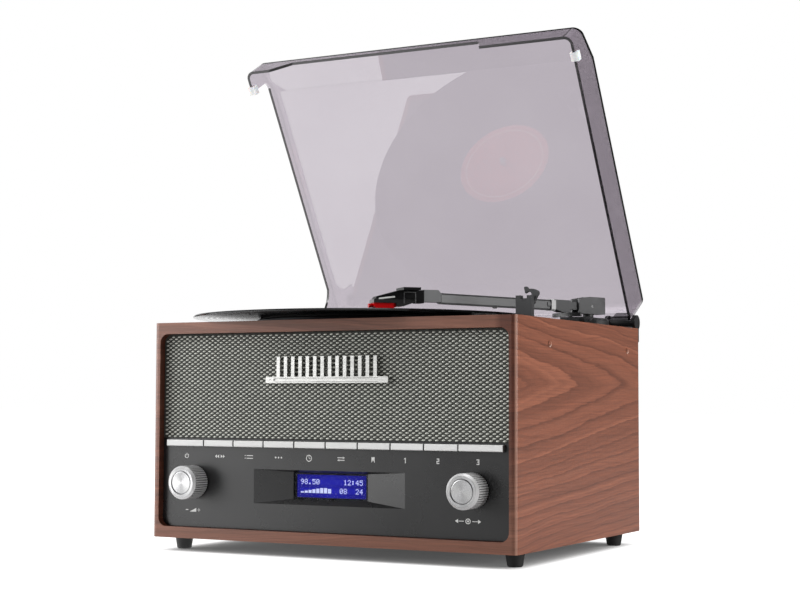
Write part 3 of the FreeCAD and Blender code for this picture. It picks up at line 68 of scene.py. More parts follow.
class Look:
    """A material with one Principled shader, and short calls that add nodes to it."""

    def __init__(self, name, color=(0.5, 0.5, 0.5, 1.0), rough=0.5, metal=0.0, **more):
        self.mat = bpy.data.materials.new(name)
        self.mat.use_nodes = True
        self.tree = self.mat.node_tree
        self.shader = self.tree.nodes["Principled BSDF"]
        self.shader.inputs["Base Color"].default_value = color
        self.shader.inputs["Roughness"].default_value = rough
        self.shader.inputs["Metallic"].default_value = metal
        for key, value in more.items():
            self.shader.inputs[key.replace("_", " ")].default_value = value

    def add(self, kind, values=None, **settings):
        node = self.tree.nodes.new(kind)
        for key, value in settings.items():
            setattr(node, key, value)
        for key, value in (values or {}).items():
            if isinstance(value, bpy.types.NodeSocket):
                self.tree.links.new(value, node.inputs[key])
            else:
                node.inputs[key].default_value = value
        return node

    def math(self, operation, a, b=0.0, c=0.0):
        values = {0: a, 1: b, 2: c}
        return self.add("ShaderNodeMath", values, operation=operation).outputs[0]

    def place(self):
        """Position in metres, in the row's frame."""
        return self.add("ShaderNodeTexCoord").outputs["Object"]

    def xyz(self, vector):
        parts = self.add("ShaderNodeSeparateXYZ", {0: vector})
        return parts.outputs[0], parts.outputs[1], parts.outputs[2]

    def vector(self, x, y, z):
        return self.add("ShaderNodeCombineXYZ", {0: x, 1: y, 2: z}).outputs[0]

    def stretched(self, scale, turn=(0.0, 0.0, 0.0)):
        """Position with each axis scaled, for grain, brushing and weave."""
        return self.add("ShaderNodeMapping", {"Vector": self.place(), "Scale": scale,
                                              "Rotation": turn}).outputs[0]

    def noise(self, vector, scale, detail=3.0, rough=0.55, distort=0.0):
        return self.add("ShaderNodeTexNoise", {"Vector": vector, "Scale": scale, "Detail": detail,
                                               "Roughness": rough, "Distortion": distort}).outputs[0]

    def ramp(self, value, stops, mode="LINEAR"):
        node = self.add("ShaderNodeValToRGB", {0: value})
        node.color_ramp.interpolation = mode
        elements = node.color_ramp.elements
        while len(elements) < len(stops):
            elements.new(0.5)
        for element, (at, color) in zip(elements, stops):
            element.position = at
            element.color = color if len(color) == 4 else (color[0], color[1], color[2], 1.0)
        return node.outputs[0]

    def spread(self, value, low, high, from_low=0.0, from_high=1.0):
        node = self.add("ShaderNodeMapRange", {0: value, 1: from_low, 2: from_high, 3: low, 4: high})
        return node.outputs[0]

    def mix(self, factor, a, b, mode="MIX"):
        node = self.add("ShaderNodeMix", {0: factor, 6: a, 7: b}, data_type="RGBA", blend_type=mode)
        return node.outputs[2]

    def color(self, socket):
        self.tree.links.new(socket, self.shader.inputs["Base Color"])
        return self

    def roughness(self, socket):
        self.tree.links.new(socket, self.shader.inputs["Roughness"])
        return self

    def bump(self, height, strength=0.2, distance=0.0004):
        node = self.add("ShaderNodeBump", {"Height": height, "Strength": strength, "Distance": distance})
        self.tree.links.new(node.outputs[0], self.shader.inputs["Normal"])
        return self


def moulded(name, color, rough=0.5, grain=2600.0, strength=0.12, tone=0.12, **more):
    """Moulded plastic: fine grain, and faint variation of tone and gloss."""
    look = Look(name, color, rough, **more)
    fine = look.noise(look.place(), grain, 2.0)
    broad = look.noise(look.place(), 26.0, 4.0)
    dark = tuple(c * (1.0 - tone) for c in color[:3]) + (1.0,)
    light = tuple(min(c * (1.0 + tone), 1.0) for c in color[:3]) + (1.0,)
    look.color(look.ramp(broad, [(0.3, dark), (0.7, light)]))
    look.roughness(look.spread(broad, rough - 0.05, rough + 0.06, 0.3, 0.7))
    look.bump(fine, strength, 0.0002)
    return look.mat


def metal(name, color, rough=0.3, brush=(40.0, 40.0, 2400.0), strength=0.08, **more):
    """Metal with fine lines along the axis of the smallest brush scale."""
    look = Look(name, color, rough, 1.0, **more)
    lines = look.noise(look.stretched(brush), 1.0, 3.0)
    broad = look.noise(look.place(), 40.0, 3.0)
    dark = tuple(c * 0.86 for c in color[:3]) + (1.0,)
    look.color(look.ramp(broad, [(0.3, dark), (0.7, color)]))
    look.roughness(look.spread(lines, rough - 0.07, rough + 0.1, 0.3, 0.7))
    look.bump(lines, strength, 0.0001)
    return look.mat


def turned(name, color, rough, centre, axis, pitch, strength=0.25, **more):
    """Metal turned on a lathe: fine rings about an axis."""
    look = Look(name, color, rough, 1.0, **more)
    parts = look.xyz(look.place())
    pair = [(value, middle) for i, (value, middle) in enumerate(zip(parts, centre)) if i != axis]
    squares = [look.math("POWER", look.math("SUBTRACT", value, middle), 2.0) for value, middle in pair]
    radius = look.math("SQRT", look.math("ADD", squares[0], squares[1]))
    wave = look.math("SINE", look.math("MULTIPLY", radius, 2.0 * math.pi / pitch))
    uneven = look.noise(look.vector(look.math("MULTIPLY", radius, 3000.0), 0.0, 0.0), 1.0, 2.0)
    height = look.math("MULTIPLY_ADD", wave, 0.3, uneven)
    dark = tuple(c * 0.9 for c in color[:3]) + (1.0,)
    look.color(look.ramp(uneven, [(0.3, dark), (0.7, color)]))
    look.roughness(look.spread(uneven, rough - 0.05, rough + 0.08, 0.3, 0.7))
    look.bump(height, strength, 0.00006)
    return look.mat


def knob_look(name, knob_x):
    """Spun metal face with a painted bow-tie highlight and painted shade in the ring cut in it, and a paler satin
    grip with painted shade in its flutes.
    """
    look = Look(name, rgb(205, 205, 206), 0.3, 0.85, Anisotropic=0.75)
    spin = look.add("ShaderNodeTangent", direction_type="RADIAL", axis="Y")
    look.tree.links.new(spin.outputs[0], look.shader.inputs["Tangent"])
    x, y, z = look.xyz(look.place())
    dx = look.math("SUBTRACT", x, knob_x)
    dz = look.math("SUBTRACT", z, KNOB_Z)
    radius = look.math("SQRT", look.math("ADD", look.math("POWER", dx, 2.0), look.math("POWER", dz, 2.0)))
    rings = look.noise(look.vector(look.math("MULTIPLY", radius, 4200.0), 0.0, 0.0), 1.0, 2.0)
    # Painted bow-tie highlight: the face is lit and shaded by the angle round the knob's axis.
    turn = look.math("ARCTAN2", dz, dx)
    highlight_rays = look.math("MULTIPLY_ADD", look.math("COSINE", look.math("MULTIPLY_ADD", turn, 2.0, 0.9)), 0.5, 0.5)
    face = look.ramp(highlight_rays, [(0.0, rgb(170, 170, 171)), (0.55, rgb(206, 206, 207)), (1.0, rgb(244, 244, 244))])
    face = look.mix(look.math("MULTIPLY", rings, 0.25), face, rgb(132, 132, 134))
    # Painted shade in the ring cut in the face.
    ring_at = look.math("ABSOLUTE", look.math("SUBTRACT", radius, 9.5 * MM))
    face = look.mix(look.spread(ring_at, 0.8, 0.0, 0.15 * MM, 0.5 * MM), face, rgb(74, 74, 76))
    on_grip = look.math("GREATER_THAN", radius, 12.3 * MM)
    # Painted shade in the valleys of the grip's flutes.
    on_flutes = look.math("GREATER_THAN", y, PANEL - 17.9 * MM)
    deep = look.math("MULTIPLY", on_flutes, look.spread(radius, 0.95, 0.0, 13.35 * MM, 13.9 * MM))
    grip = look.mix(deep, rgb(226, 226, 227), rgb(52, 52, 54))
    look.color(look.mix(on_grip, face, grip))
    look.tree.links.new(look.spread(on_grip, 0.85, 0.3), look.shader.inputs["Metallic"])
    look.roughness(look.spread(rings, 0.24, 0.36, 0.3, 0.7))
    look.bump(rings, 0.1, 0.00004)
    return look.mat


def head_look(name):
    """Black head with a paler coupling at the arm's end."""
    look = Look(name, rgb(34, 34, 36), 0.36, Specular_IOR_Level=0.1)
    axis = HEAD.to_3x3() @ Vector((0.0, -1.0, 0.0))
    start = HEAD.translation.dot(axis)
    x, y, z = look.xyz(look.place())
    along = look.math("ADD", look.math("MULTIPLY", x, axis.x), look.math("MULTIPLY", y, axis.y))
    along = look.math("ADD", along, look.math("MULTIPLY_ADD", z, axis.z, -start))
    on_coupling = look.math("LESS_THAN", along, 13.4 * MM)
    broad = look.noise(look.place(), 40.0, 3.0)
    black = look.mix(broad, rgb(12, 12, 14), rgb(28, 28, 30))
    grey = look.mix(broad, rgb(120, 121, 123), rgb(150, 151, 153))
    look.color(look.mix(on_coupling, black, grey))
    look.bump(look.noise(look.place(), 2400.0, 2.0), 0.08, 0.0002)
    return look.mat


def arm_look(name):
    """Grey arm, a little darker at the pivot's end."""
    look = Look(name, rgb(112, 113, 115), 0.36)
    axis = ARM.to_3x3() @ Vector((0.0, -1.0, 0.0))
    x, y, z = look.xyz(look.place())
    along = look.math("ADD", look.math("MULTIPLY", x, axis.x), look.math("MULTIPLY_ADD", y, axis.y,
                                                                       -PIVOT.dot(axis)))
    broad = look.noise(look.place(), 26.0, 4.0)
    pale = look.mix(broad, rgb(104, 105, 107), rgb(120, 121, 123))
    dark = look.mix(broad, rgb(70, 71, 73), rgb(84, 85, 87))
    look.color(look.mix(look.spread(along, 1.0, 0.0, 0.045, 0.047), pale, dark))
    look.bump(look.noise(look.place(), 2200.0, 2.0), 0.06, 0.0002)
    return look.mat


def key_look(name):
    """Pale keys, with painted shade where two of them meet."""
    look = Look(name, rgb(246, 246, 245), 0.3, Coat_Weight=0.25)
    x, y, z = look.xyz(look.place())
    # Distance to the nearest key end, for the painted shade in the gaps between keys.
    near = look.math("ADD", 1.0, 0.0)
    for index in range(10):
        lo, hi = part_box("key_%d" % (index + 1))
        for end in (lo.x, hi.x):
            near = look.math("MINIMUM", near, look.math("ABSOLUTE", look.math("SUBTRACT", x, end)))
    broad = look.noise(look.place(), 26.0, 4.0)
    face = look.mix(broad, rgb(240, 240, 239), rgb(255, 255, 254))
    look.color(look.mix(look.spread(near, 0.9, 0.0, 0.18 * MM, 0.4 * MM), face, rgb(40, 40, 41)))
    look.bump(look.noise(look.place(), 2600.0, 2.0), 0.05, 0.0002)
    return look.mat


def walnut(name="walnut_veneer"):
    """Flat-cut veneer: arched figure on the right side, and nearly straight grain round the front; the right side
    face is painted lighter, with painted shade on the right stile and inside the frame, and a painted highlight on
    the rounded front right edge.
    """
    look = Look(name, rough=0.36, Specular_IOR_Level=0.5)
    x, y, z = look.xyz(look.place())
    along = look.math("MULTIPLY", look.math("ADD", x, y), 1000.0)
    across = look.math("MULTIPLY", look.math("SUBTRACT", z, 0.1415), 1000.0)
    drift = look.noise(look.vector(look.math("MULTIPLY", along, 0.007), look.math("MULTIPLY", across, 0.02), 3.1),
                       1.0, 2.0)
    across = look.math("ADD", across, look.math("MULTIPLY", look.math("SUBTRACT", drift, 0.5), 13.0))
    above = look.math("MAXIMUM", across, 0.0)
    below = look.math("MAXIMUM", look.math("MULTIPLY", across, -1.0), 0.0)
    rings_above = look.math("ADD", look.math("MULTIPLY", above, 2.4),
                            look.math("MULTIPLY", look.math("POWER", above, 2.0), 0.10))
    rings_below = look.math("ADD", look.math("MULTIPLY", below, 4.7),
                            look.math("MULTIPLY", look.math("POWER", below, 2.0), 0.045))
    feather = look.noise(look.vector(look.math("MULTIPLY", along, 0.035), look.math("MULTIPLY", across, 0.55), 7.7),
                         1.0, 4.0, 0.6)
    rings = look.math("ADD", look.math("ADD", rings_above, rings_below), along)
    rings = look.math("ADD", rings, look.math("MULTIPLY", look.math("SUBTRACT", feather, 0.5), 34.0))
    scaled = look.math("DIVIDE", look.math("ADD", rings, 883.0), 104.0)
    ring = look.math("FRACT", scaled)
    fine_ring = look.math("FRACT", look.math("MULTIPLY", scaled, 3.0))
    band = look.noise(look.vector(look.math("MULTIPLY", rings, 0.012), 0.0, 0.0), 1.0, 3.0, 0.5)
    streaks = look.noise(look.vector(look.math("MULTIPLY", along, 0.011), look.math("MULTIPLY", across, 0.85), 1.3),
                         1.0, 5.0, 0.6)
    fibre = look.noise(look.vector(look.math("MULTIPLY", along, 0.06), look.math("MULTIPLY", across, 3.4), 4.1),
                       1.0, 3.0, 0.6)
    pore_at = look.vector(look.math("MULTIPLY", along, 0.2), look.math("MULTIPLY", across, 4.2),
                          look.math("MULTIPLY", x, 300.0))
    pores = look.noise(pore_at, 1.0, 2.0)
    color = look.ramp(band, [(0.3, rgb(112, 73, 58)), (0.5, rgb(134, 88, 70)), (0.7, rgb(152, 103, 83))])
    late = look.ramp(ring, [(0.0, (0.0,) * 3), (0.05, (1.0,) * 3), (0.3, (0.42,) * 3), (0.62, (0.1,) * 3),
                            (1.0, (0.0,) * 3)])
    late_fine = look.ramp(fine_ring, [(0.0, (0.0,) * 3), (0.12, (1.0,) * 3), (0.5, (0.2,) * 3), (1.0, (0.0,) * 3)])
    on_side = look.spread(x, 0.35, 1.0, 0.166, 0.17)
    color = look.mix(look.math("MULTIPLY", look.math("MULTIPLY", late, on_side), 0.55), color, rgb(84, 52, 41))
    color = look.mix(look.math("MULTIPLY", look.math("MULTIPLY", late_fine, on_side), 0.2), color, rgb(92, 56, 44))
    tone = look.ramp(streaks, [(0.3, (0.72, 0.70, 0.69)), (0.48, (0.97, 0.97, 0.97)), (0.7, (1.2, 1.15, 1.12))])
    color = look.mix(0.85, color, tone, "MULTIPLY")
    thin = look.ramp(fibre, [(0.32, (0.82, 0.80, 0.79)), (0.5, (1.0, 1.0, 1.0)), (0.7, (1.1, 1.08, 1.06))])
    color = look.mix(0.75, color, thin, "MULTIPLY")
    dots = look.ramp(pores, [(0.28, (0.6, 0.56, 0.54)), (0.38, (1.0, 1.0, 1.0))])
    color = look.mix(0.45, color, dots, "MULTIPLY")
    # Painted light: the right side face is lifted lighter and warmer than the rest of the veneer.
    color = look.mix(look.spread(x, 0.0, 1.0, 0.1695, 0.1706), color, (1.42, 1.2, 1.06, 1.0), "MULTIPLY")
    # Painted shade on the front face of the right stile, fading out towards the bottom.
    in_front = look.math("LESS_THAN", y, FRONT + 1.2 * MM)
    stile_shade = look.math("MULTIPLY", look.spread(x, 0.0, 1.0, 0.152, 0.158), in_front)
    stile_shade = look.math("MULTIPLY", stile_shade, look.spread(z, 0.0, 1.0, 0.03, 0.1))
    color = look.mix(stile_shade, color, (0.5, 0.35, 0.29, 1.0), "MULTIPLY")
    # Painted shade on the inside faces of the front frame, round the opening.
    inside_shade = look.math("MULTIPLY", look.math("GREATER_THAN", y, FRONT + 0.8 * MM),
                      look.math("LESS_THAN", look.math("ABSOLUTE", x), 0.166))
    color = look.mix(inside_shade, color, (0.42, 0.32, 0.28, 1.0), "MULTIPLY")
    # Painted highlight on the rounded front right edge.
    edge_highlight = look.math("MULTIPLY", look.spread(x, 0.0, 1.0, 0.1686, 0.1698),
                           look.spread(y, 1.0, 0.0, FRONT + 1.2 * MM, FRONT + 2.8 * MM))
    color = look.mix(look.math("MULTIPLY", edge_highlight, 0.5), color, rgb(214, 165, 144))
    look.color(color)
    look.roughness(look.spread(fibre, 0.3, 0.4, 0.3, 0.7))
    look.bump(look.math("ADD", fibre, look.math("MULTIPLY", pores, 0.5)), 0.12, 0.00015)
    return look.mat


def board_edge(name):
    """Black-faced fibreboard."""
    look = Look(name, rgb(34, 33, 32), 0.62)
    fibres = look.noise(look.stretched((900.0, 900.0, 900.0)), 1.0, 4.0, 0.7)
    blotch = look.noise(look.place(), 18.0, 4.0)
    color = look.ramp(fibres, [(0.3, rgb(24, 23, 22)), (0.7, rgb(44, 42, 40))])
    look.color(look.mix(look.math("MULTIPLY", blotch, 0.4), color, rgb(52, 49, 46)))
    look.roughness(look.spread(blotch, 0.52, 0.7, 0.3, 0.7))
    look.bump(fibres, 0.2, 0.0002)
    return look.mat


def grille_fabric(name):
    """Plain dark weave between the silver threads."""
    look = Look(name, rgb(60, 61, 56), 0.8, Sheen_Weight=0.25)
    x, y, z = look.xyz(look.place())
    warp = look.math("SINE", look.math("MULTIPLY", x, 2.0 * math.pi / 0.00098))
    weft = look.math("SINE", look.math("MULTIPLY", z, 2.0 * math.pi / 0.0009))
    cloth = look.math("MULTIPLY_ADD", look.math("MULTIPLY", warp, weft), 0.5, 0.5)
    yarn = look.noise(look.place(), 1500.0, 3.0)
    color = look.ramp(cloth, [(0.1, rgb(30, 31, 28)), (0.9, rgb(78, 80, 73))])
    look.color(look.mix(look.math("MULTIPLY", yarn, 0.5), color, rgb(46, 47, 43)))
    look.bump(look.math("ADD", cloth, yarn), 0.6, 0.0003)
    return look.mat


def silver_thread(name):
    look = Look(name, rgb(216, 217, 209), 0.4, 0.15)
    strands = look.noise(look.stretched((700.0, 700.0, 5200.0)), 1.0, 2.0)
    shade = look.noise(look.place(), 55.0, 2.0)
    color = look.ramp(strands, [(0.3, rgb(176, 178, 169)), (0.65, rgb(236, 237, 229))])
    look.color(look.mix(look.math("MULTIPLY", shade, 0.35), color, rgb(178, 180, 171)))
    look.bump(strands, 0.4, 0.0001)
    return look.mat


def record_look(name):
    """Pressed record: gloss that changes from track to track, and a plain label."""
    look = Look(name, rgb(14, 14, 15), 0.12, Specular_IOR_Level=0.4)
    x, y, z = look.xyz(look.place())
    dx = look.math("ADD", x, 0.025)
    dy = look.math("ADD", y, 0.024)
    radius = look.math("SQRT", look.math("ADD", look.math("POWER", dx, 2.0), look.math("POWER", dy, 2.0)))
    track = look.noise(look.vector(look.math("MULTIPLY", radius, 420.0), 0.0, 0.0), 1.0, 2.0)
    on_label = look.math("LESS_THAN", radius, 0.0495)
    on_ring = look.math("MULTIPLY", look.math("GREATER_THAN", radius, 0.0425),
                        look.math("LESS_THAN", radius, 0.0432))
    paper = look.noise(look.place(), 1800.0, 3.0)
    red = look.mix(look.math("MULTIPLY", paper, 0.25), rgb(196, 74, 52), rgb(222, 120, 86))
    red = look.mix(on_ring, red, rgb(236, 214, 190))
    black = look.ramp(track, [(0.3, rgb(9, 9, 10)), (0.7, rgb(24, 24, 26))])
    look.color(look.mix(on_label, black, red))
    look.roughness(look.mix(on_label, look.spread(track, 0.09, 0.17, 0.3, 0.7), (0.55, 0.55, 0.55, 1.0)))
    on_top = look.math("GREATER_THAN", z, 0.2012)
    look.bump(look.math("MULTIPLY", track, on_top), 0.03, 0.00003)
    return look.mat


LID_ANGLE = math.radians(59.1)
HINGE = Vector((0.0, 140.2, 200.1)) * MM


def smoked(name):
    """Smoked clear plastic; the rim of the walls is nearly black, because there the light crosses their height."""
    look = Look(name, (0.56, 0.51, 0.57, 1.0), 0.012, IOR=1.7)
    swirl = look.noise(look.place(), 9.0, 2.0)
    body = look.ramp(swirl, [(0.3, (0.535, 0.49, 0.54, 1.0)), (0.7, (0.565, 0.52, 0.57, 1.0))])
    at_x = look.xyz(look.place())[0]
    on_wall = look.spread(at_x, 0.0, 1.0, 0.1621, 0.1624)
    body = look.mix(on_wall, body, (0.49, 0.45, 0.49, 1.0))
    sin = math.sin(LID_ANGLE)
    cos = math.cos(LID_ANGLE)
    a, b, c = look.xyz(look.add("ShaderNodeTexCoord").outputs["Normal"])
    facing = look.math("ADD", look.math("MULTIPLY", b, -sin), look.math("MULTIPLY", c, -cos))
    x, y, z = look.xyz(look.place())
    y = look.math("SUBTRACT", y, HINGE.y)
    z = look.math("SUBTRACT", z, HINGE.z)
    lift = look.math("ADD", look.math("MULTIPLY", y, sin), look.math("MULTIPLY", z, cos))
    depth = look.math("SUBTRACT", look.math("MULTIPLY", y, cos), look.math("MULTIPLY", z, sin))
    behind_slope = look.math("GREATER_THAN", depth, -250.0 * MM)
    near_rim = look.math("LESS_THAN", lift, look.math("MULTIPLY_ADD", behind_slope, 14.0 * MM, 12.0 * MM))
    rim = look.math("MULTIPLY", look.spread(facing, 0.0, 1.0, 0.55, 0.7), near_rim)
    look.color(look.mix(rim, body, (0.012, 0.01, 0.012, 1.0)))
    look.tree.links.new(look.spread(rim, 1.0, 0.25), look.shader.inputs["Transmission Weight"])
    haze = look.noise(look.place(), 14.0, 2.0)
    look.roughness(look.math("MULTIPLY_ADD", rim, 0.25, look.spread(haze, 0.006, 0.014, 0.4, 0.7)))
    return look.mat


def lcd_look(name):
    """Metal frame round a deep blue panel lit from behind."""
    look = Look(name, rgb(20, 20, 24), 0.4, Specular_IOR_Level=0.1)
    x, y, z = look.xyz(look.place())
    inside_x = look.math("LESS_THAN", look.math("ABSOLUTE", x), 0.03275)
    inside_z = look.math("LESS_THAN", look.math("ABSOLUTE", look.math("SUBTRACT", z, 0.05815)), 0.00925)
    inside = look.math("MULTIPLY", inside_x, inside_z)
    glow = look.noise(look.place(), 30.0, 2.0)
    fade = look.spread(look.math("ABSOLUTE", x), 1.0, 0.72, 0.0, 0.034)
    blue = look.mix(glow, rgb(14, 12, 140), rgb(28, 28, 190))
    look.color(look.mix(inside, rgb(22, 22, 25), rgb(5, 5, 40)))
    look.tree.links.new(look.mix(inside, (0.0, 0.0, 0.0, 1.0), blue), look.shader.inputs["Emission Color"])
    look.tree.links.new(look.math("MULTIPLY", inside, look.math("MULTIPLY", fade, 0.7)),
                        look.shader.inputs["Emission Strength"])
    return look.mat


def clear(name, color, rough=0.03, ior=1.49):
    look = Look(name, color, rough, Transmission_Weight=1.0, IOR=ior)
    haze = look.noise(look.place(), 120.0, 2.0)
    look.roughness(look.spread(haze, rough, rough + 0.04, 0.3, 0.7))
    return look.mat


def rubber(name, color, rough=0.72):
    look = Look(name, color, rough)
    fine = look.noise(look.place(), 1900.0, 4.0)
    dust = look.noise(look.place(), 60.0, 4.0)
    worn = tuple(min(c * 1.6 + 0.01, 1.0) for c in color[:3]) + (1.0,)
    look.color(look.mix(look.spread(dust, 0.0, 0.5, 0.45, 0.8), color, worn))
    look.bump(fine, 0.25, 0.0002)
    return look.mat


def circuit(name):
    look = Look(name, rgb(24, 84, 52), 0.32)
    mesh = look.add("ShaderNodeTexBrick", {"Vector": look.stretched((220.0, 220.0, 220.0)), "Scale": 1.0,
                                           "Color1": rgb(20, 76, 46), "Color2": rgb(34, 104, 62),
                                           "Mortar": rgb(62, 132, 84), "Mortar Size": 0.06})
    look.color(mesh.outputs[0])
    look.bump(mesh.outputs[1], 0.3, 0.0001)
    return look.mat


def glowing(name, color, strength):
    look = Look(name, color, 0.5, Specular_IOR_Level=0.1)
    soft = look.noise(look.place(), 900.0, 2.0)
    dim = tuple(c * 0.2 for c in color[:3]) + (1.0,)
    look.color(look.mix(soft, dim, (0.0, 0.0, 0.0, 1.0)))
    look.shader.inputs["Emission Color"].default_value = color
    look.shader.inputs["Emission Strength"].default_value = strength
    return look.mat


def ink(name, color):
    look = Look(name, color, 0.5)
    grain = look.noise(look.place(), 2400.0, 3.0)
    thin = tuple(c * 0.86 for c in color[:3]) + (1.0,)
    look.color(look.ramp(grain, [(0.3, thin), (0.6, color)]))
    look.bump(grain, 0.1, 0.0001)
    return look.mat


KNOB_X = 131.2 * MM
KNOB_Z = LOW + 47.5 * MM

# The arm lies along -Y in its own frame and is turned about the pivot
PIVOT = Vector((134.0, 105.5, 11.5)) * MM
ARM = Matrix.Translation(PIVOT) @ Matrix.Rotation(math.radians(-21.0), 4, "Z")
HEAD = ARM @ Matrix.Translation((0.0, -183.6 * MM, 0.0)) @ Matrix.Rotation(math.radians(-22.0), 4, "Z")

WALNUT = walnut()
BOARD = board_edge("black_board")
DECK = moulded("deck_black", rgb(40, 40, 42), 0.52, 1500.0, 0.35)
PANEL_BLACK = moulded("panel_black", rgb(27, 27, 28), 0.28, 2800.0, 0.02, 0.05, Specular_IOR_Level=0.7)
ARM_GREY = arm_look("arm_grey")
ARM_DARK = moulded("arm_dark", rgb(58, 59, 61), 0.4, 2200.0, 0.08)
SWIVEL_GREY = moulded("swivel_grey", rgb(82, 83, 85), 0.42, 2000.0, 0.12)
REST_GREY = moulded("rest_grey", rgb(64, 64, 66), 0.45, 2000.0, 0.12)
HEAD_BLACK = moulded("head_black", rgb(24, 24, 25), 0.34, 2600.0, 0.08, Specular_IOR_Level=0.35)
HINGE_BLACK = moulded("hinge_black", rgb(34, 34, 36), 0.42, 2000.0, 0.15)
CARTRIDGE = moulded("cartridge_black", rgb(28, 28, 30), 0.28, 2400.0, 0.06)
STEEL = metal("bright_steel", rgb(196, 197, 198), 0.24)
PRESSED = metal("pressed_steel", rgb(180, 180, 178), 0.36, (900.0, 900.0, 60.0))
NICKEL = metal("nickel", rgb(206, 203, 194), 0.2)
MOTOR = metal("zinc_plate", rgb(176, 180, 180), 0.34, (60.0, 60.0, 1600.0))
CHROME = metal("badge_satin", rgb(222, 222, 219), 0.27, (60.0, 900.0, 900.0), 0.05)
KEYS = key_look("key_silver")
KNOB_LEFT = knob_look("knob_left", -KNOB_X)
KNOB_RIGHT = knob_look("knob_right", KNOB_X)
PLATTER = turned("platter_metal", rgb(34, 34, 35), 0.4, (-0.025, -0.024, 0.0), 2, 0.0008)
BRASS = turned("pulley_brass", rgb(196, 164, 92), 0.26, (-0.0775, 0.0285, 0.0), 2, 0.0005)
MAT = rubber("mat_rubber", rgb(34, 34, 35))
FOOT = rubber("foot_rubber", rgb(32, 32, 33), 0.6)
BELT = rubber("belt_rubber", rgb(22, 22, 22))
PAPER = rubber("cone_paper", rgb(40, 39, 38), 0.85)
FRAME_PAINT = moulded("speaker_frame", rgb(36, 36, 37), 0.45, 1800.0, 0.15)
LID = smoked("lid_smoke")
# The bumpers glow a little though they are no lamp: painted light.
BUMPER_GLOW = moulded("bumper_white_glow", rgb(252, 252, 250), 0.4, 2200.0, 0.05, 0.02, Subsurface_Weight=0.3,
                 Emission_Color=(1.0, 1.0, 1.0, 1.0), Emission_Strength=0.22)
WINDOW = clear("window_clear", (0.97, 0.98, 1.0, 1.0), 0.02, 1.08)
RED = moulded("stylus_red", rgb(206, 6, 14), 0.26, 1500.0, 0.05, 0.1, Specular_IOR_Level=0.12)

DRESS = {
    "front_frame": WALNUT, "left_side_panel": WALNUT, "right_side_panel": WALNUT,
    "bottom_panel": BOARD, "rear_panel": BOARD, "feet": FOOT, "deck_plate": DECK,
    "speaker_baffle": BOARD, "grille_cloth": grille_fabric("grille_fabric"), "badge": CHROME,
    "left_speaker": FRAME_PAINT, "right_speaker": FRAME_PAINT, "speaker_cones": PAPER,
    "control_panel": PANEL_BLACK, "display_window": WINDOW, "lcd_module": lcd_look("lcd_blue"),
    "front_board": circuit("front_board_mask"), "main_board": circuit("main_board_mask"),
    "volume_encoder": PRESSED, "tune_encoder": PRESSED, "volume_shaft": STEEL, "tune_shaft": STEEL,
    "tune_rotor": HINGE_BLACK, "volume_knob": KNOB_LEFT, "tune_knob": KNOB_RIGHT,
    "rear_sockets": NICKEL, "platter_spindle": STEEL, "platter": PLATTER, "slipmat": MAT,
    "vinyl_record": record_look("vinyl"), "drive_motor": MOTOR, "motor_pulley": BRASS,
    "drive_belt": BELT, "tonearm_base": DECK, "tonearm_swivel": SWIVEL_GREY, "lift_pin": STEEL,
    "tonearm_tube": ARM_GREY, "arm_tail": STEEL, "headshell": head_look("headshell_black"), "cartridge": CARTRIDGE,
    "stylus": RED, "arm_rest": REST_GREY, "arm_clip": REST_GREY, "cue_lever": HEAD_BLACK,
    "cue_lifter": HINGE_BLACK, "speed_selector": HEAD_BLACK, "lid": LID, "lid_bumpers": BUMPER_GLOW,
    "hinge_bases": HINGE_BLACK, "hinge_arms": HINGE_BLACK,
}
for index in range(10):
    DRESS["key_%d" % (index + 1)] = KEYS

for name, material in DRESS.items():
    mesh = nodes[name].data
    mesh.materials.clear()
    mesh.materials.append(material)


# Mesh helpers

def piece(name, verts, faces, material, body, smooth=False):
    mesh = bpy.data.meshes.new(name)
    mesh.from_pydata([tuple(v) for v in verts], [], faces)
    mesh.materials.append(material)
    if smooth:
        mesh.shade_smooth()
    mesh.update()
    obj = bpy.data.objects.new(name, mesh)
    bpy.context.scene.collection.objects.link(obj)
    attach(obj, body)
    return obj


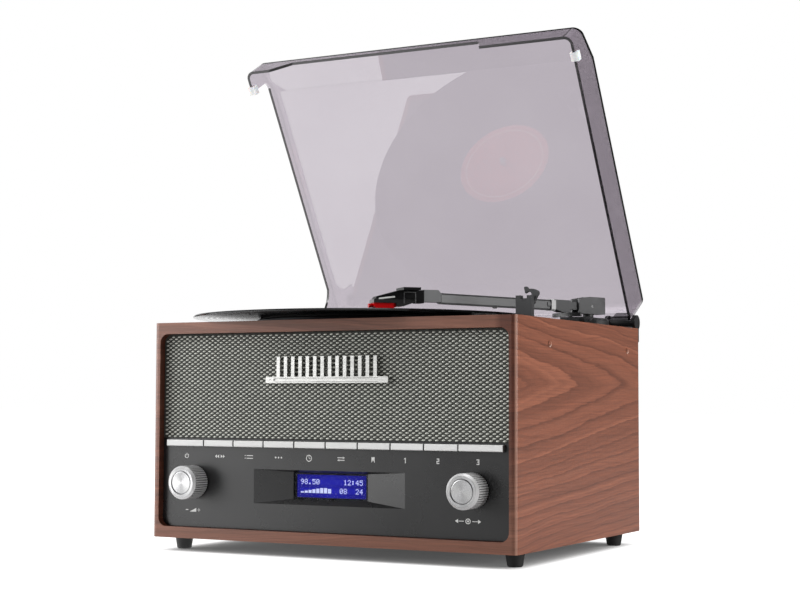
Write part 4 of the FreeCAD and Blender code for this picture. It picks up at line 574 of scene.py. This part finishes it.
class Shapes:
    """Gathers raised shapes into one mesh; a frame gives the place of its flat and its normal."""

    def __init__(self, origin, right, up, rise):
        self.origin = Vector(origin)
        self.right = Vector(right).normalized()
        self.up = Vector(up).normalized()
        self.out = self.right.cross(self.up)
        self.rise = rise
        self.verts = []
        self.faces = []

    def at(self, a, b, c=0.0):
        return self.origin + self.right * a + self.up * b + self.out * c

    def polygon(self, points, rise=None):
        """Raised shape with an outline in anticlockwise order as seen from outside."""
        rise = self.rise if rise is None else rise
        start = len(self.verts)
        n = len(points)
        self.verts += [self.at(a, b, 0.0) for a, b in points]
        self.verts += [self.at(a, b, rise) for a, b in points]
        self.faces.append([start + n + i for i in range(n)])
        for i in range(n):
            j = (i + 1) % n
            self.faces.append([start + i, start + j, start + n + j, start + n + i])

    def bar(self, a0, b0, a1, b1):
        self.polygon([(a0, b0), (a1, b0), (a1, b1), (a0, b1)])

    def line(self, p, q, width):
        d = Vector((q[0] - p[0], q[1] - p[1]))
        side = Vector((-d.y, d.x)).normalized() * width / 2
        self.polygon([(p[0] - side.x, p[1] - side.y), (q[0] - side.x, q[1] - side.y),
                      (q[0] + side.x, q[1] + side.y), (p[0] + side.x, p[1] + side.y)])

    def disc(self, a, b, r, steps=20):
        turn = [2.0 * math.pi * i / steps for i in range(steps)]
        self.polygon([(a + r * math.cos(t), b + r * math.sin(t)) for t in turn])

    def arc(self, a, b, r, width, start, end, steps=20):
        """Part of a ring, between two angles in degrees."""
        for i in range(steps):
            t0 = math.radians(start + (end - start) * i / steps)
            t1 = math.radians(start + (end - start) * (i + 1) / steps)
            r0 = r - width / 2
            r1 = r + width / 2
            self.polygon([(a + r0 * math.cos(t0), b + r0 * math.sin(t0)),
                          (a + r1 * math.cos(t0), b + r1 * math.sin(t0)),
                          (a + r1 * math.cos(t1), b + r1 * math.sin(t1)),
                          (a + r0 * math.cos(t1), b + r0 * math.sin(t1))])

    def finish(self, name, material, body, slot, smooth=False):
        return piece(name, self.verts, self.faces, material, body, smooth)


def front_shapes(depth, rise):
    """Shapes on a plane that faces the front; a is x and b is the height above the table."""
    return Shapes((0.0, depth, 0.0), (1, 0, 0), (0, 0, 1), rise)


def lathe(profile, origin, axis, steps=32):
    """Vertices and faces of a turned form; profile holds (radius, height along the axis)."""
    axis = Vector(axis).normalized()
    side = axis.orthogonal().normalized()
    other = axis.cross(side)
    verts = []
    faces = []
    for r, h in profile:
        for i in range(steps):
            t = 2.0 * math.pi * i / steps
            verts.append(Vector(origin) + axis * h + (side * math.cos(t) + other * math.sin(t)) * r)
    for ring_index in range(len(profile) - 1):
        for i in range(steps):
            j = (i + 1) % steps
            a = ring_index * steps
            b = a + steps
            faces.append([a + i, a + j, b + j, b + i])
    faces.append([(len(profile) - 1) * steps + i for i in range(steps)])
    faces.append([i for i in reversed(range(steps))])
    return verts, faces


# Silver threads of the grille

def grille_threads():
    lo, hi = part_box("grille_cloth")
    pitch = 5.86 * MM
    row = 1.81 * MM
    half = 1.6 * MM
    rise = 0.55 * MM
    y = lo.y
    verts = []
    faces = []
    rows = int((hi.z - lo.z) / row)
    for r in range(rows):
        z = lo.z + (r + 0.5) * row + 0.1 * MM
        shift = pitch / 2 if r % 2 else 0.0
        x = -pitch * 29 + shift
        while x < hi.x:
            wave = math.sin(r * 12.9898 + x * 7823.3) * 0.5
            cx = x + wave * 0.12 * MM
            cz = z + math.sin(r * 3.1 + x * 911.0) * 0.06 * MM
            if cx - half > lo.x + 0.3 * MM and cx + half < hi.x - 0.3 * MM and in_corner(cx, cz, hi):
                thread(verts, faces, cx, cz, y, half * (1.0 + 0.08 * wave), 0.7 * MM, rise)
            x += pitch
    piece("grille_threads", verts, faces, silver_thread("silver_thread"), "cabinet", True)


def in_corner(x, z, hi):
    """True where a thread is clear of the rounded upper corners."""
    r = 7.4 * MM
    cx = hi.x - r
    cz = hi.z - r
    if abs(x) + 1.6 * MM < cx or z + 0.6 * MM < cz:
        return z + 0.7 * MM < hi.z
    return math.hypot(abs(x) + 1.6 * MM - cx, z + 0.6 * MM - cz) < r


def thread(verts, faces, cx, cz, y, half, width, rise):
    """One float of thread: a long rounded bead that dips into the cloth at both ends."""
    start = len(verts)
    stations = [(-1.0, 0.12, 0.05), (-0.72, 0.72, 0.6), (-0.3, 1.0, 0.95), (0.3, 1.0, 0.95),
                (0.72, 0.72, 0.6), (1.0, 0.12, 0.05)]
    lean = 0.1
    for u, w, h in stations:
        mid = cz + lean * u * half
        x = cx + u * half
        verts.append((x, y, mid - width * w))
        verts.append((x, y - rise * h * 0.8, mid - width * w * 0.55))
        verts.append((x, y - rise * h, mid + width * w * 0.1))
        verts.append((x, y - rise * h * 0.7, mid + width * w * 0.65))
        verts.append((x, y, mid + width * w))
    for s in range(len(stations) - 1):
        a = start + s * 5
        b = a + 5
        for k in range(4):
            faces.append([a + k, b + k, b + k + 1, a + k + 1])


grille_threads()


# Printed marks on the control panel

PRINT = ink("panel_print", rgb(236, 236, 234))


def digit_strokes(shapes, digit, x, z, h):
    """A plain numeral from straight strokes."""
    w = h * 0.56
    t = h * 0.17
    left = x - w / 2
    right = x + w / 2
    top = z + h / 2
    low = z - h / 2
    if digit == 1:
        shapes.bar(x, low, x + t, top)
        shapes.line((left + 0.1 * w, top - 0.26 * h), (x + t * 0.5, top - t * 0.5), t * 0.8)
    elif digit == 2:
        shapes.bar(left, top - t, right, top)
        shapes.bar(right - t, z - t / 2, right, top - t)
        shapes.bar(left, z - t / 2, right - t, z + t / 2)
        shapes.bar(left, low + t, left + t, z - t / 2)
        shapes.bar(left, low, right, low + t)
    else:
        shapes.bar(left, top - t, right - t, top)
        shapes.bar(left + 0.25 * w, z - t / 2, right - t, z + t / 2)
        shapes.bar(left, low, right - t, low + t)
        shapes.bar(right - t, low, right, top)


def key_marks():
    marks = front_shapes(PANEL, 0.05 * MM)
    z = LOW + 69.5 * MM
    u = 1.4 * MM
    h = 3.0 * u
    t = 0.46 * u
    # On and off
    x = -139.9 * MM
    marks.arc(x, z - 0.1 * u, 1.25 * u, t, 125, 415)
    marks.line((x, z), (x, z + 1.6 * u), t)
    # Search down and up
    x = -105.8 * MM
    for side in (-1, 1):
        for step in (0.6, 2.2):
            a = x + side * step * u
            b = x + side * (step + 1.4) * u
            tri = [(a, z - 1.1 * u), (b, z), (a, z + 1.1 * u)]
            marks.polygon(tri if side > 0 else tri[::-1])
    # List
    x = -76.4 * MM
    for k in (-1, 1):
        marks.bar(x - 1.7 * u, z + k * 0.8 * u - t / 2, x + 2.8 * u, z + k * 0.8 * u + t / 2)
        marks.bar(x - 3.1 * u, z + k * 0.8 * u - t / 2, x - 2.4 * u, z + k * 0.8 * u + t / 2)
    # More
    x = -47.2 * MM
    for k in (-1, 0, 1):
        marks.disc(x + k * 2.0 * u, z, 0.55 * u, 14)
    # Clock
    x = -17.7 * MM
    marks.arc(x, z, 1.75 * u, t, 0, 360)
    marks.line((x, z), (x, z + 1.3 * u), t * 0.8)
    marks.line((x, z), (x + 1.0 * u, z - 0.3 * u), t * 0.8)
    # Change of source
    x = 12.7 * MM
    marks.line((x - 2.4 * u, z + 0.7 * u), (x + 1.4 * u, z + 0.7 * u), t)
    marks.polygon([(x + 1.2 * u, z + 0.05 * u), (x + 2.6 * u, z + 0.7 * u), (x + 1.2 * u, z + 1.35 * u)])
    marks.line((x - 1.4 * u, z - 0.7 * u), (x + 2.4 * u, z - 0.7 * u), t)
    marks.polygon([(x - 1.2 * u, z - 0.05 * u), (x - 2.6 * u, z - 0.7 * u), (x - 1.2 * u, z - 1.35 * u)])
    # Kept station
    x = 42.4 * MM
    for side in (-1, 1):
        half = [(x, z - 0.1 * u), (x + side * 1.0 * u, z - 1.8 * u), (x + side * 1.0 * u, z + 1.5 * u),
                (x, z + 1.5 * u)]
        marks.polygon(half if side > 0 else half[::-1])
    for digit, x in ((1, 71.4), (2, 100.7), (3, 135.4)):
        digit_strokes(marks, digit, x * MM, z, h)
    # Louder and softer
    x = -133.0 * MM
    z = 35.2 * MM
    marks.polygon([(x - 3.4 * MM, z - 1.6 * MM), (x + 3.4 * MM, z - 1.6 * MM), (x + 3.4 * MM, z + 1.6 * MM)])
    marks.bar(x - 7.4 * MM, z - t / 2, x - 4.8 * MM, z + t / 2)
    marks.bar(x + 4.8 * MM, z - t / 2, x + 7.4 * MM, z + t / 2)
    marks.bar(x + 6.1 * MM - t / 2, z - 1.3 * MM, x + 6.1 * MM + t / 2, z + 1.3 * MM)
    # Turn, and press to choose
    x = 126.9 * MM
    for side in (-1, 1):
        a = x + side * 8.6 * MM
        b = x + side * 11.2 * MM
        tri = [(a, z - 1.6 * MM), (b, z), (a, z + 1.6 * MM)]
        marks.polygon(tri if side > 0 else tri[::-1])
        marks.line((x + side * 3.6 * MM, z), (x + side * 8.4 * MM, z), t * 0.8)
    marks.arc(x, z, 1.9 * MM, t, 0, 360)
    marks.disc(x, z, 0.8 * MM, 14)
    marks.finish("panel_marks", PRINT, "cabinet", "panel_black")


key_marks()


# Painted shade of the badge's grooves as two dark lines, and a dark dot at the left end of its bar

def badge_lines():
    lines = front_shapes(PANEL - 4.0 * MM, 0.04 * MM)
    z = LOW + 131.0 * MM
    lines.bar(-50.0 * MM, z + 3.75 * MM, 49.0 * MM, z + 4.15 * MM)
    lines.bar(-50.0 * MM, z + 0.9 * MM, 49.0 * MM, z + 1.2 * MM)
    lines.disc(-49.5 * MM, z + 2.6 * MM, 0.75 * MM, 16)
    lines.finish("badge_lines", ink("badge_groove_shade", rgb(84, 84, 82)), "cabinet", "badge_chrome")


badge_lines()


# Digits on the display

FONT = {
    "0": "0E 11 13 15 19 11 0E", "1": "04 0C 04 04 04 04 0E", "2": "0E 11 01 02 04 08 1F",
    "3": "1F 02 04 02 01 11 0E", "4": "02 06 0A 12 1F 02 02", "5": "1F 10 1E 01 01 11 0E",
    "6": "06 08 10 1E 11 11 0E", "7": "1F 01 02 04 08 08 08", "8": "0E 11 11 0E 11 11 0E",
    "9": "0E 11 11 0F 01 02 0C", ":": "00 0C 0C 00 0C 0C 00", ".": "00 00 00 00 00 0C 0C",
    "-": "00 00 00 1F 00 00 00", "|": "1F 1F 1F 1F 1F 1F 1F", " ": "00 00 00 00 00 00 00",
    "a": "00 00 00 00 00 1F 1F", "b": "00 00 00 00 1F 1F 1F", "c": "00 00 00 1F 1F 1F 1F",
    "d": "00 00 1F 1F 1F 1F 1F", "e": "00 1F 1F 1F 1F 1F 1F",
}


def display_digits():
    lo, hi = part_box("lcd_module")
    face = lo.y + 0.6 * MM
    lit = front_shapes(face, 0.08 * MM)
    cells = front_shapes(face, 0.03 * MM)
    dot = 0.60 * MM
    step_x = 3.72 * MM
    step_z = 7.1 * MM
    z_mid = (lo.z + hi.z) / 2
    for line, text in enumerate(("98.50      12:45", "abcde||e  08  24")):
        base = z_mid + (0.5 - line) * step_z + 3.0 * dot
        for column, letter in enumerate(text):
            left = (column - 8) * step_x + 0.35 * MM
            cells.bar(left - 0.1 * MM, base - 6.6 * dot, left + 4.9 * dot, base + 0.6 * dot)
            for r, bits in enumerate(FONT[letter].split()):
                for c in range(5):
                    if int(bits, 16) >> (4 - c) & 1:
                        x = left + c * dot
                        z = base - r * dot
                        lit.bar(x, z - dot * 0.44, x + dot * 0.88, z + dot * 0.44)
    cells.finish("display_cells", glowing("cell_blue", rgb(26, 26, 176), 0.75), "cabinet", "lcd_blue")
    lit.finish("display_digits", glowing("digit_white", rgb(214, 222, 252), 1.0), "cabinet", "lcd_blue")


display_digits()


# Screws

SCREW = metal("screw_black", rgb(70, 70, 72), 0.32, (600.0, 600.0, 600.0))
# Dark crosses laid on the screw heads: painted shade standing in for their recesses.
RECESS_SHADE = moulded("recess_painted_shade", rgb(14, 14, 14), 0.6)


def screws(name, places, axis, radius, body):
    """Pan-head screws whose cross recess is a dark cross of painted shade on the head; all heads of a group form one
    piece.
    """
    verts = []
    faces = []
    axis = Vector(axis).normalized()
    side = axis.orthogonal().normalized()
    other = axis.cross(side)
    cross_verts = []
    cross_faces = []
    for origin in places:
        h = radius * 0.55
        profile = [(radius, 0.0), (radius, h * 0.35), (radius * 0.86, h * 0.8), (radius * 0.6, h), (radius * 0.2, h)]
        v, f = lathe(profile, origin, axis, 20)
        start = len(verts)
        verts += v
        faces += [[start + k for k in face] for face in f]
        for direction in ((side, other), (other, side)):
            a, b = direction
            start = len(cross_verts)
            centre = Vector(origin) + axis * (h + 0.02 * MM)
            for sa, sb in ((-1, -1), (1, -1), (1, 1), (-1, 1)):
                cross_verts.append(centre + a * (sa * radius * 0.5) + b * (sb * radius * 0.1))
            cross_faces.append([start, start + 1, start + 2, start + 3])
    piece(name, verts, faces, SCREW, body)
    piece(name + "_recesses", cross_verts, cross_faces, RECESS_SHADE, body)


rear_y = 0.135
screws("rear_screws", [(x, rear_y, z) for x in (-0.156, -0.052, 0.052, 0.156) for z in (0.0265, 0.186)]
       + [(sx * 0.156, rear_y, 0.105) for sx in (-1, 1)], (0, 1, 0), 2.9 * MM, "cabinet")
screws("base_screws", [(x, y, LOW) for x in (-0.11, 0.0, 0.11) for y in (-0.118, 0.128)], (0, 0, -1),
       3.0 * MM, "cabinet")
screws("foot_screws", [(sx * 0.157, sy * 0.107, 6.0 * MM) for sx in (-1, 1) for sy in (-1, 1)], (0, 0, -1),
       2.9 * MM, "cabinet")
screws("hinge_screws", [(sx * x, rear_y + 2.5 * MM, 0.1755) for sx in (-1, 1) for x in (0.1455, 0.1595)],
       (0, 1, 0), 2.2 * MM, "cabinet")


# Cover caps on the right side, each with a pale crescent of painted highlight left round a veneer top set off from
# it

def side_caps():
    # The pale cap colour is a painted highlight; the veneer top covers all of it but a crescent.
    cap_highlight = Look("cap_painted_highlight", rgb(226, 190, 172), 0.45)
    grain = cap_highlight.noise(cap_highlight.stretched((900.0, 200.0, 2200.0)), 1.0, 3.0)
    cap_highlight.color(cap_highlight.ramp(grain, [(0.3, rgb(200, 158, 138)), (0.7, rgb(238, 208, 192))]))
    cap_highlight.bump(grain, 0.2, 0.0001)
    for number, (y, z) in enumerate(((-0.070, 0.1738), (0.106, 0.1732))):
        profile = [(2.6 * MM, 0.0), (2.6 * MM, 0.25 * MM), (2.2 * MM, 0.5 * MM), (1.2 * MM, 0.62 * MM)]
        verts, faces = lathe(profile, (0.171, y, z), (1, 0, 0), 24)
        piece("side_cap_%d" % (number + 1), verts, faces, cap_highlight.mat, "cabinet", True)
        profile = [(2.3 * MM, 0.45 * MM), (2.1 * MM, 0.66 * MM), (1.0 * MM, 0.74 * MM)]
        verts, faces = lathe(profile, (0.171, y - 0.9 * MM, z + 0.5 * MM), (1, 0, 0), 24)
        piece("side_cap_%d_veneer" % (number + 1), verts, faces, WALNUT, "cabinet", True)


side_caps()


# Tonearm details

def placed(matrix, points):
    return [matrix @ (Vector(p) * MM) for p in points]


def plate_on(name, matrix, outline, x, rise, material, body):
    """Thin plate on a side face of the arm; the outline holds (y, z) points in millimetres."""
    n = len(outline)
    verts = placed(matrix, [(x, y, z) for y, z in outline] + [(x + rise, y, z) for y, z in outline])
    faces = [[n + i for i in range(n)]]
    for i in range(n):
        j = (i + 1) % n
        faces.append([i, j, n + j, n + i])
    return piece(name, verts, faces, material, body)


def beam_bar(name, near, far, half_w, low, high, edge, material):
    """Straight bar along the arm with its long edges broken."""
    outline = [(-half_w + edge, low), (half_w - edge, low), (half_w, low + edge), (half_w, high - edge),
               (half_w - edge, high), (-half_w + edge, high), (-half_w, high - edge), (-half_w, low + edge)]
    n = len(outline)
    verts = placed(ARM, [(x, -near, z) for x, z in outline] + [(x, -far, z) for x, z in outline])
    faces = [list(range(n)), [2 * n - 1 - i for i in range(n)]]
    for i in range(n):
        j = (i + 1) % n
        faces.append([j, i, n + i, n + j])
    return piece(name, verts, faces, material, "tonearm")


def arm_details():
    # The pale strip on the side of the head is painted light.
    white = ink("head_highlight_strip", rgb(236, 238, 236))
    plate_on("head_highlight_strip", HEAD, [(-54.2, 199.4), (-40.2, 201.1), (-40.2, 202.5), (-53.9, 200.7)], 8.72, 0.1,
             white, "tonearm")
    line = ink("panel_line", rgb(96, 97, 99))
    plate_on("head_panel_front_line", HEAD, [(-32.6, 196.4), (-32.0, 196.4), (-32.0, 205.6), (-32.6, 205.6)], 8.72,
             0.1, line, "tonearm")
    plate_on("head_panel_top_line", HEAD, [(-32.6, 205.4), (-22.0, 205.4), (-22.0, 206.0), (-32.6, 206.0)], 8.72,
             0.1, line, "tonearm")
    plate_on("head_panel_rear_line", HEAD, [(-22.6, 196.4), (-22.0, 196.4), (-22.0, 205.6), (-22.6, 205.6)], 8.72,
             0.1, line, "tonearm")
    beam_bar("arm_beam_cover", 51.0, 182.0, 3.1, 197.6, 205.7, 0.9, ARM_GREY)
    beam_bar("arm_beam_lip", 51.0, 181.0, 3.4, 205.3, 206.2, 0.3, ARM_DARK)
    beam_bar("arm_beam_foot", 51.0, 181.0, 2.6, 197.2, 197.9, 0.2, ARM_DARK)
    beam_bar("arm_beam_stud", 116.2, 119.0, 1.4, 196.0, 197.4, 0.4, ARM_DARK)
    pale = moulded("band_pale", rgb(206, 207, 208), 0.35, 2200.0, 0.06, 0.05)
    beam_bar("arm_band", 46.4, 51.6, 4.4, 196.9, 206.9, 1.2, pale)
    beam_bar("arm_band_groove", 51.5, 52.3, 4.1, 197.2, 206.6, 1.0, ARM_DARK)


arm_details()


# Camera, light and floor

def camera():
    data = bpy.data.cameras.new("camera")
    data.lens = 72.14
    data.sensor_width = 36.0
    data.sensor_fit = "HORIZONTAL"
    data.clip_start = 0.05
    data.clip_end = 60.0
    obj = bpy.data.objects.new("camera", data)
    bpy.context.scene.collection.objects.link(obj)
    turn = Matrix.Rotation(math.radians(28.351), 4, "Z") @ Matrix.Rotation(math.radians(93.592), 4, "X")
    turn = turn @ Matrix.Rotation(math.radians(0.169), 4, "Z")
    obj.matrix_world = Matrix.Translation((0.67305, -1.2526, 0.12831)) @ turn
    bpy.context.scene.camera = obj


def area(name, place, aim, size, watts, tint=(1.0, 1.0, 1.0)):
    data = bpy.data.lights.new(name, "AREA")
    data.shape = "RECTANGLE"
    data.size, data.size_y = size
    data.energy = watts
    data.color = tint
    obj = bpy.data.objects.new(name, data)
    bpy.context.scene.collection.objects.link(obj)
    obj.location = place
    obj.rotation_euler = (Vector(aim) - Vector(place)).to_track_quat("-Z", "Y").to_euler()


def world():
    """Pale surroundings: white where they are seen, brighter on the left where they shine, soft where they light."""
    scene_world = bpy.data.worlds.new("world")
    scene_world.use_nodes = True
    tree = scene_world.node_tree
    back = tree.nodes["Background"]
    back.inputs["Color"].default_value = (1.0, 1.0, 1.0, 1.0)
    path = tree.nodes.new("ShaderNodeLightPath")
    toward = tree.nodes.new("ShaderNodeTexCoord")
    along = tree.nodes.new("ShaderNodeVectorMath")
    along.operation = "DOT_PRODUCT"
    along.inputs[1].default_value = (-1.0, 0.0, 0.0)
    tree.links.new(toward.outputs["Generated"], along.inputs[0])
    shine = tree.nodes.new("ShaderNodeMapRange")
    for socket, value in ((1, 0.4), (2, 0.62), (3, 0.12), (4, 1.6)):
        shine.inputs[socket].default_value = value
    tree.links.new(along.outputs["Value"], shine.inputs[0])
    parts = tree.nodes.new("ShaderNodeSeparateXYZ")
    tree.links.new(toward.outputs["Generated"], parts.inputs[0])
    height = tree.nodes.new("ShaderNodeMapRange")
    for socket, value in ((1, 0.12), (2, 0.4), (3, 1.0), (4, 0.4)):
        height.inputs[socket].default_value = value
    tree.links.new(parts.outputs["Z"], height.inputs[0])
    shone = tree.nodes.new("ShaderNodeMath")
    shone.operation = "MULTIPLY"
    tree.links.new(shine.outputs[0], shone.inputs[0])
    tree.links.new(height.outputs[0], shone.inputs[1])
    mirrored = tree.nodes.new("ShaderNodeMix")
    tree.links.new(path.outputs["Is Glossy Ray"], mirrored.inputs[0])
    mirrored.inputs[2].default_value = 0.3
    tree.links.new(shone.outputs[0], mirrored.inputs[3])
    straight = tree.nodes.new("ShaderNodeMath")
    straight.operation = "MAXIMUM"
    tree.links.new(path.outputs["Is Camera Ray"], straight.inputs[0])
    tree.links.new(path.outputs["Is Transmission Ray"], straight.inputs[1])
    level = tree.nodes.new("ShaderNodeMix")
    tree.links.new(straight.outputs[0], level.inputs[0])
    tree.links.new(mirrored.outputs[0], level.inputs[2])
    level.inputs[3].default_value = 1.0
    tree.links.new(level.outputs[0], back.inputs["Strength"])
    bpy.context.scene.world = scene_world


def seen_ray(tree):
    """1 for what the camera sees straight, through plastic or mirrored."""
    path = tree.nodes.new("ShaderNodeLightPath")
    value = path.outputs["Is Camera Ray"]
    for name in ("Is Transmission Ray", "Is Glossy Ray"):
        either = tree.nodes.new("ShaderNodeMath")
        either.operation = "MAXIMUM"
        tree.links.new(value, either.inputs[0])
        tree.links.new(path.outputs[name], either.inputs[1])
        value = either.outputs[0]
    return value


def open_floor_tone(tree, seen):
    """The floor's glow: the soft shadow where it is seen, and paler towards the left where it is mirrored."""
    place = tree.nodes.new("ShaderNodeTexCoord")
    aim = tree.nodes.new("ShaderNodeVectorMath")
    aim.operation = "NORMALIZE"
    tree.links.new(place.outputs["Object"], aim.inputs[0])
    side = tree.nodes.new("ShaderNodeVectorMath")
    side.operation = "DOT_PRODUCT"
    side.inputs[1].default_value = (-1.0, 0.0, 0.0)
    tree.links.new(aim.outputs[0], side.inputs[0])
    tone = tree.nodes.new("ShaderNodeMapRange")
    for socket, value in ((1, 0.22), (2, 0.56), (3, 0.14), (4, 1.0)):
        tone.inputs[socket].default_value = value
    tree.links.new(side.outputs["Value"], tone.inputs[0])
    path = tree.nodes.new("ShaderNodeLightPath")
    pick = tree.nodes.new("ShaderNodeMix")
    pick.data_type = "RGBA"
    only_mirrored = tree.nodes.new("ShaderNodeMath")
    only_mirrored.operation = "SUBTRACT"
    only_mirrored.use_clamp = True
    tree.links.new(path.outputs["Is Glossy Ray"], only_mirrored.inputs[0])
    tree.links.new(path.outputs["Is Transmission Ray"], only_mirrored.inputs[1])
    tree.links.new(only_mirrored.outputs[0], pick.inputs[0])
    tree.links.new(seen, pick.inputs[6])
    tree.links.new(tone.outputs[0], pick.inputs[7])
    return pick.outputs[2]


def floor():
    """White floor that keeps the soft shadow under the cabinet."""
    mesh = bpy.data.meshes.new("floor")
    r = 14.0
    mesh.from_pydata([(-r, -r, 0), (r, -r, 0), (r, r, 0), (-r, r, 0)], [], [[0, 1, 2, 3]])
    obj = bpy.data.objects.new("floor", mesh)
    bpy.context.scene.collection.objects.link(obj)
    mat = bpy.data.materials.new("floor_white")
    mat.use_nodes = True
    tree = mat.node_tree
    tree.nodes.clear()
    out = tree.nodes.new("ShaderNodeOutputMaterial")
    total = tree.nodes.new("ShaderNodeAddShader")
    paint = tree.nodes.new("ShaderNodeBsdfDiffuse")
    paint.inputs["Color"].default_value = (0.5, 0.5, 0.5, 1.0)
    open_sky = tree.nodes.new("ShaderNodeAmbientOcclusion")
    open_sky.samples = 16
    open_sky.inputs["Distance"].default_value = 0.15
    fade = tree.nodes.new("ShaderNodeValToRGB")
    elements = fade.color_ramp.elements
    while len(elements) < 5:
        elements.new(0.5)
    for element, (at, tone) in zip(elements, ((0.0, 0.06), (0.16, 0.24), (0.34, 0.6), (0.5, 0.83), (0.75, 0.95))):
        element.position = at
        element.color = (tone, tone, tone, 1.0)
    glow = tree.nodes.new("ShaderNodeEmission")
    tree.links.new(open_sky.outputs["AO"], fade.inputs[0])
    tree.links.new(open_floor_tone(tree, fade.outputs[0]), glow.inputs["Color"])
    tree.links.new(seen_ray(tree), glow.inputs["Strength"])
    tree.links.new(paint.outputs[0], total.inputs[0])
    tree.links.new(glow.outputs[0], total.inputs[1])
    tree.links.new(total.outputs[0], out.inputs["Surface"])
    mesh.materials.append(mat)


camera()
world()
floor()
area("key", (-2.1, -1.25, 1.0), (0.0, 0.0, 0.12), (1.7, 1.9), 56.0)
area("side", (2.2, 0.15, 0.8), (0.1, 0.0, 0.1), (1.0, 1.6), 30.0, (1.0, 0.985, 0.965))
area("top", (0.0, -0.2, 2.4), (0.0, 0.0, 0.2), (1.6, 1.6), 18.0)

scene = bpy.context.scene
scene.view_settings.view_transform = "Standard"
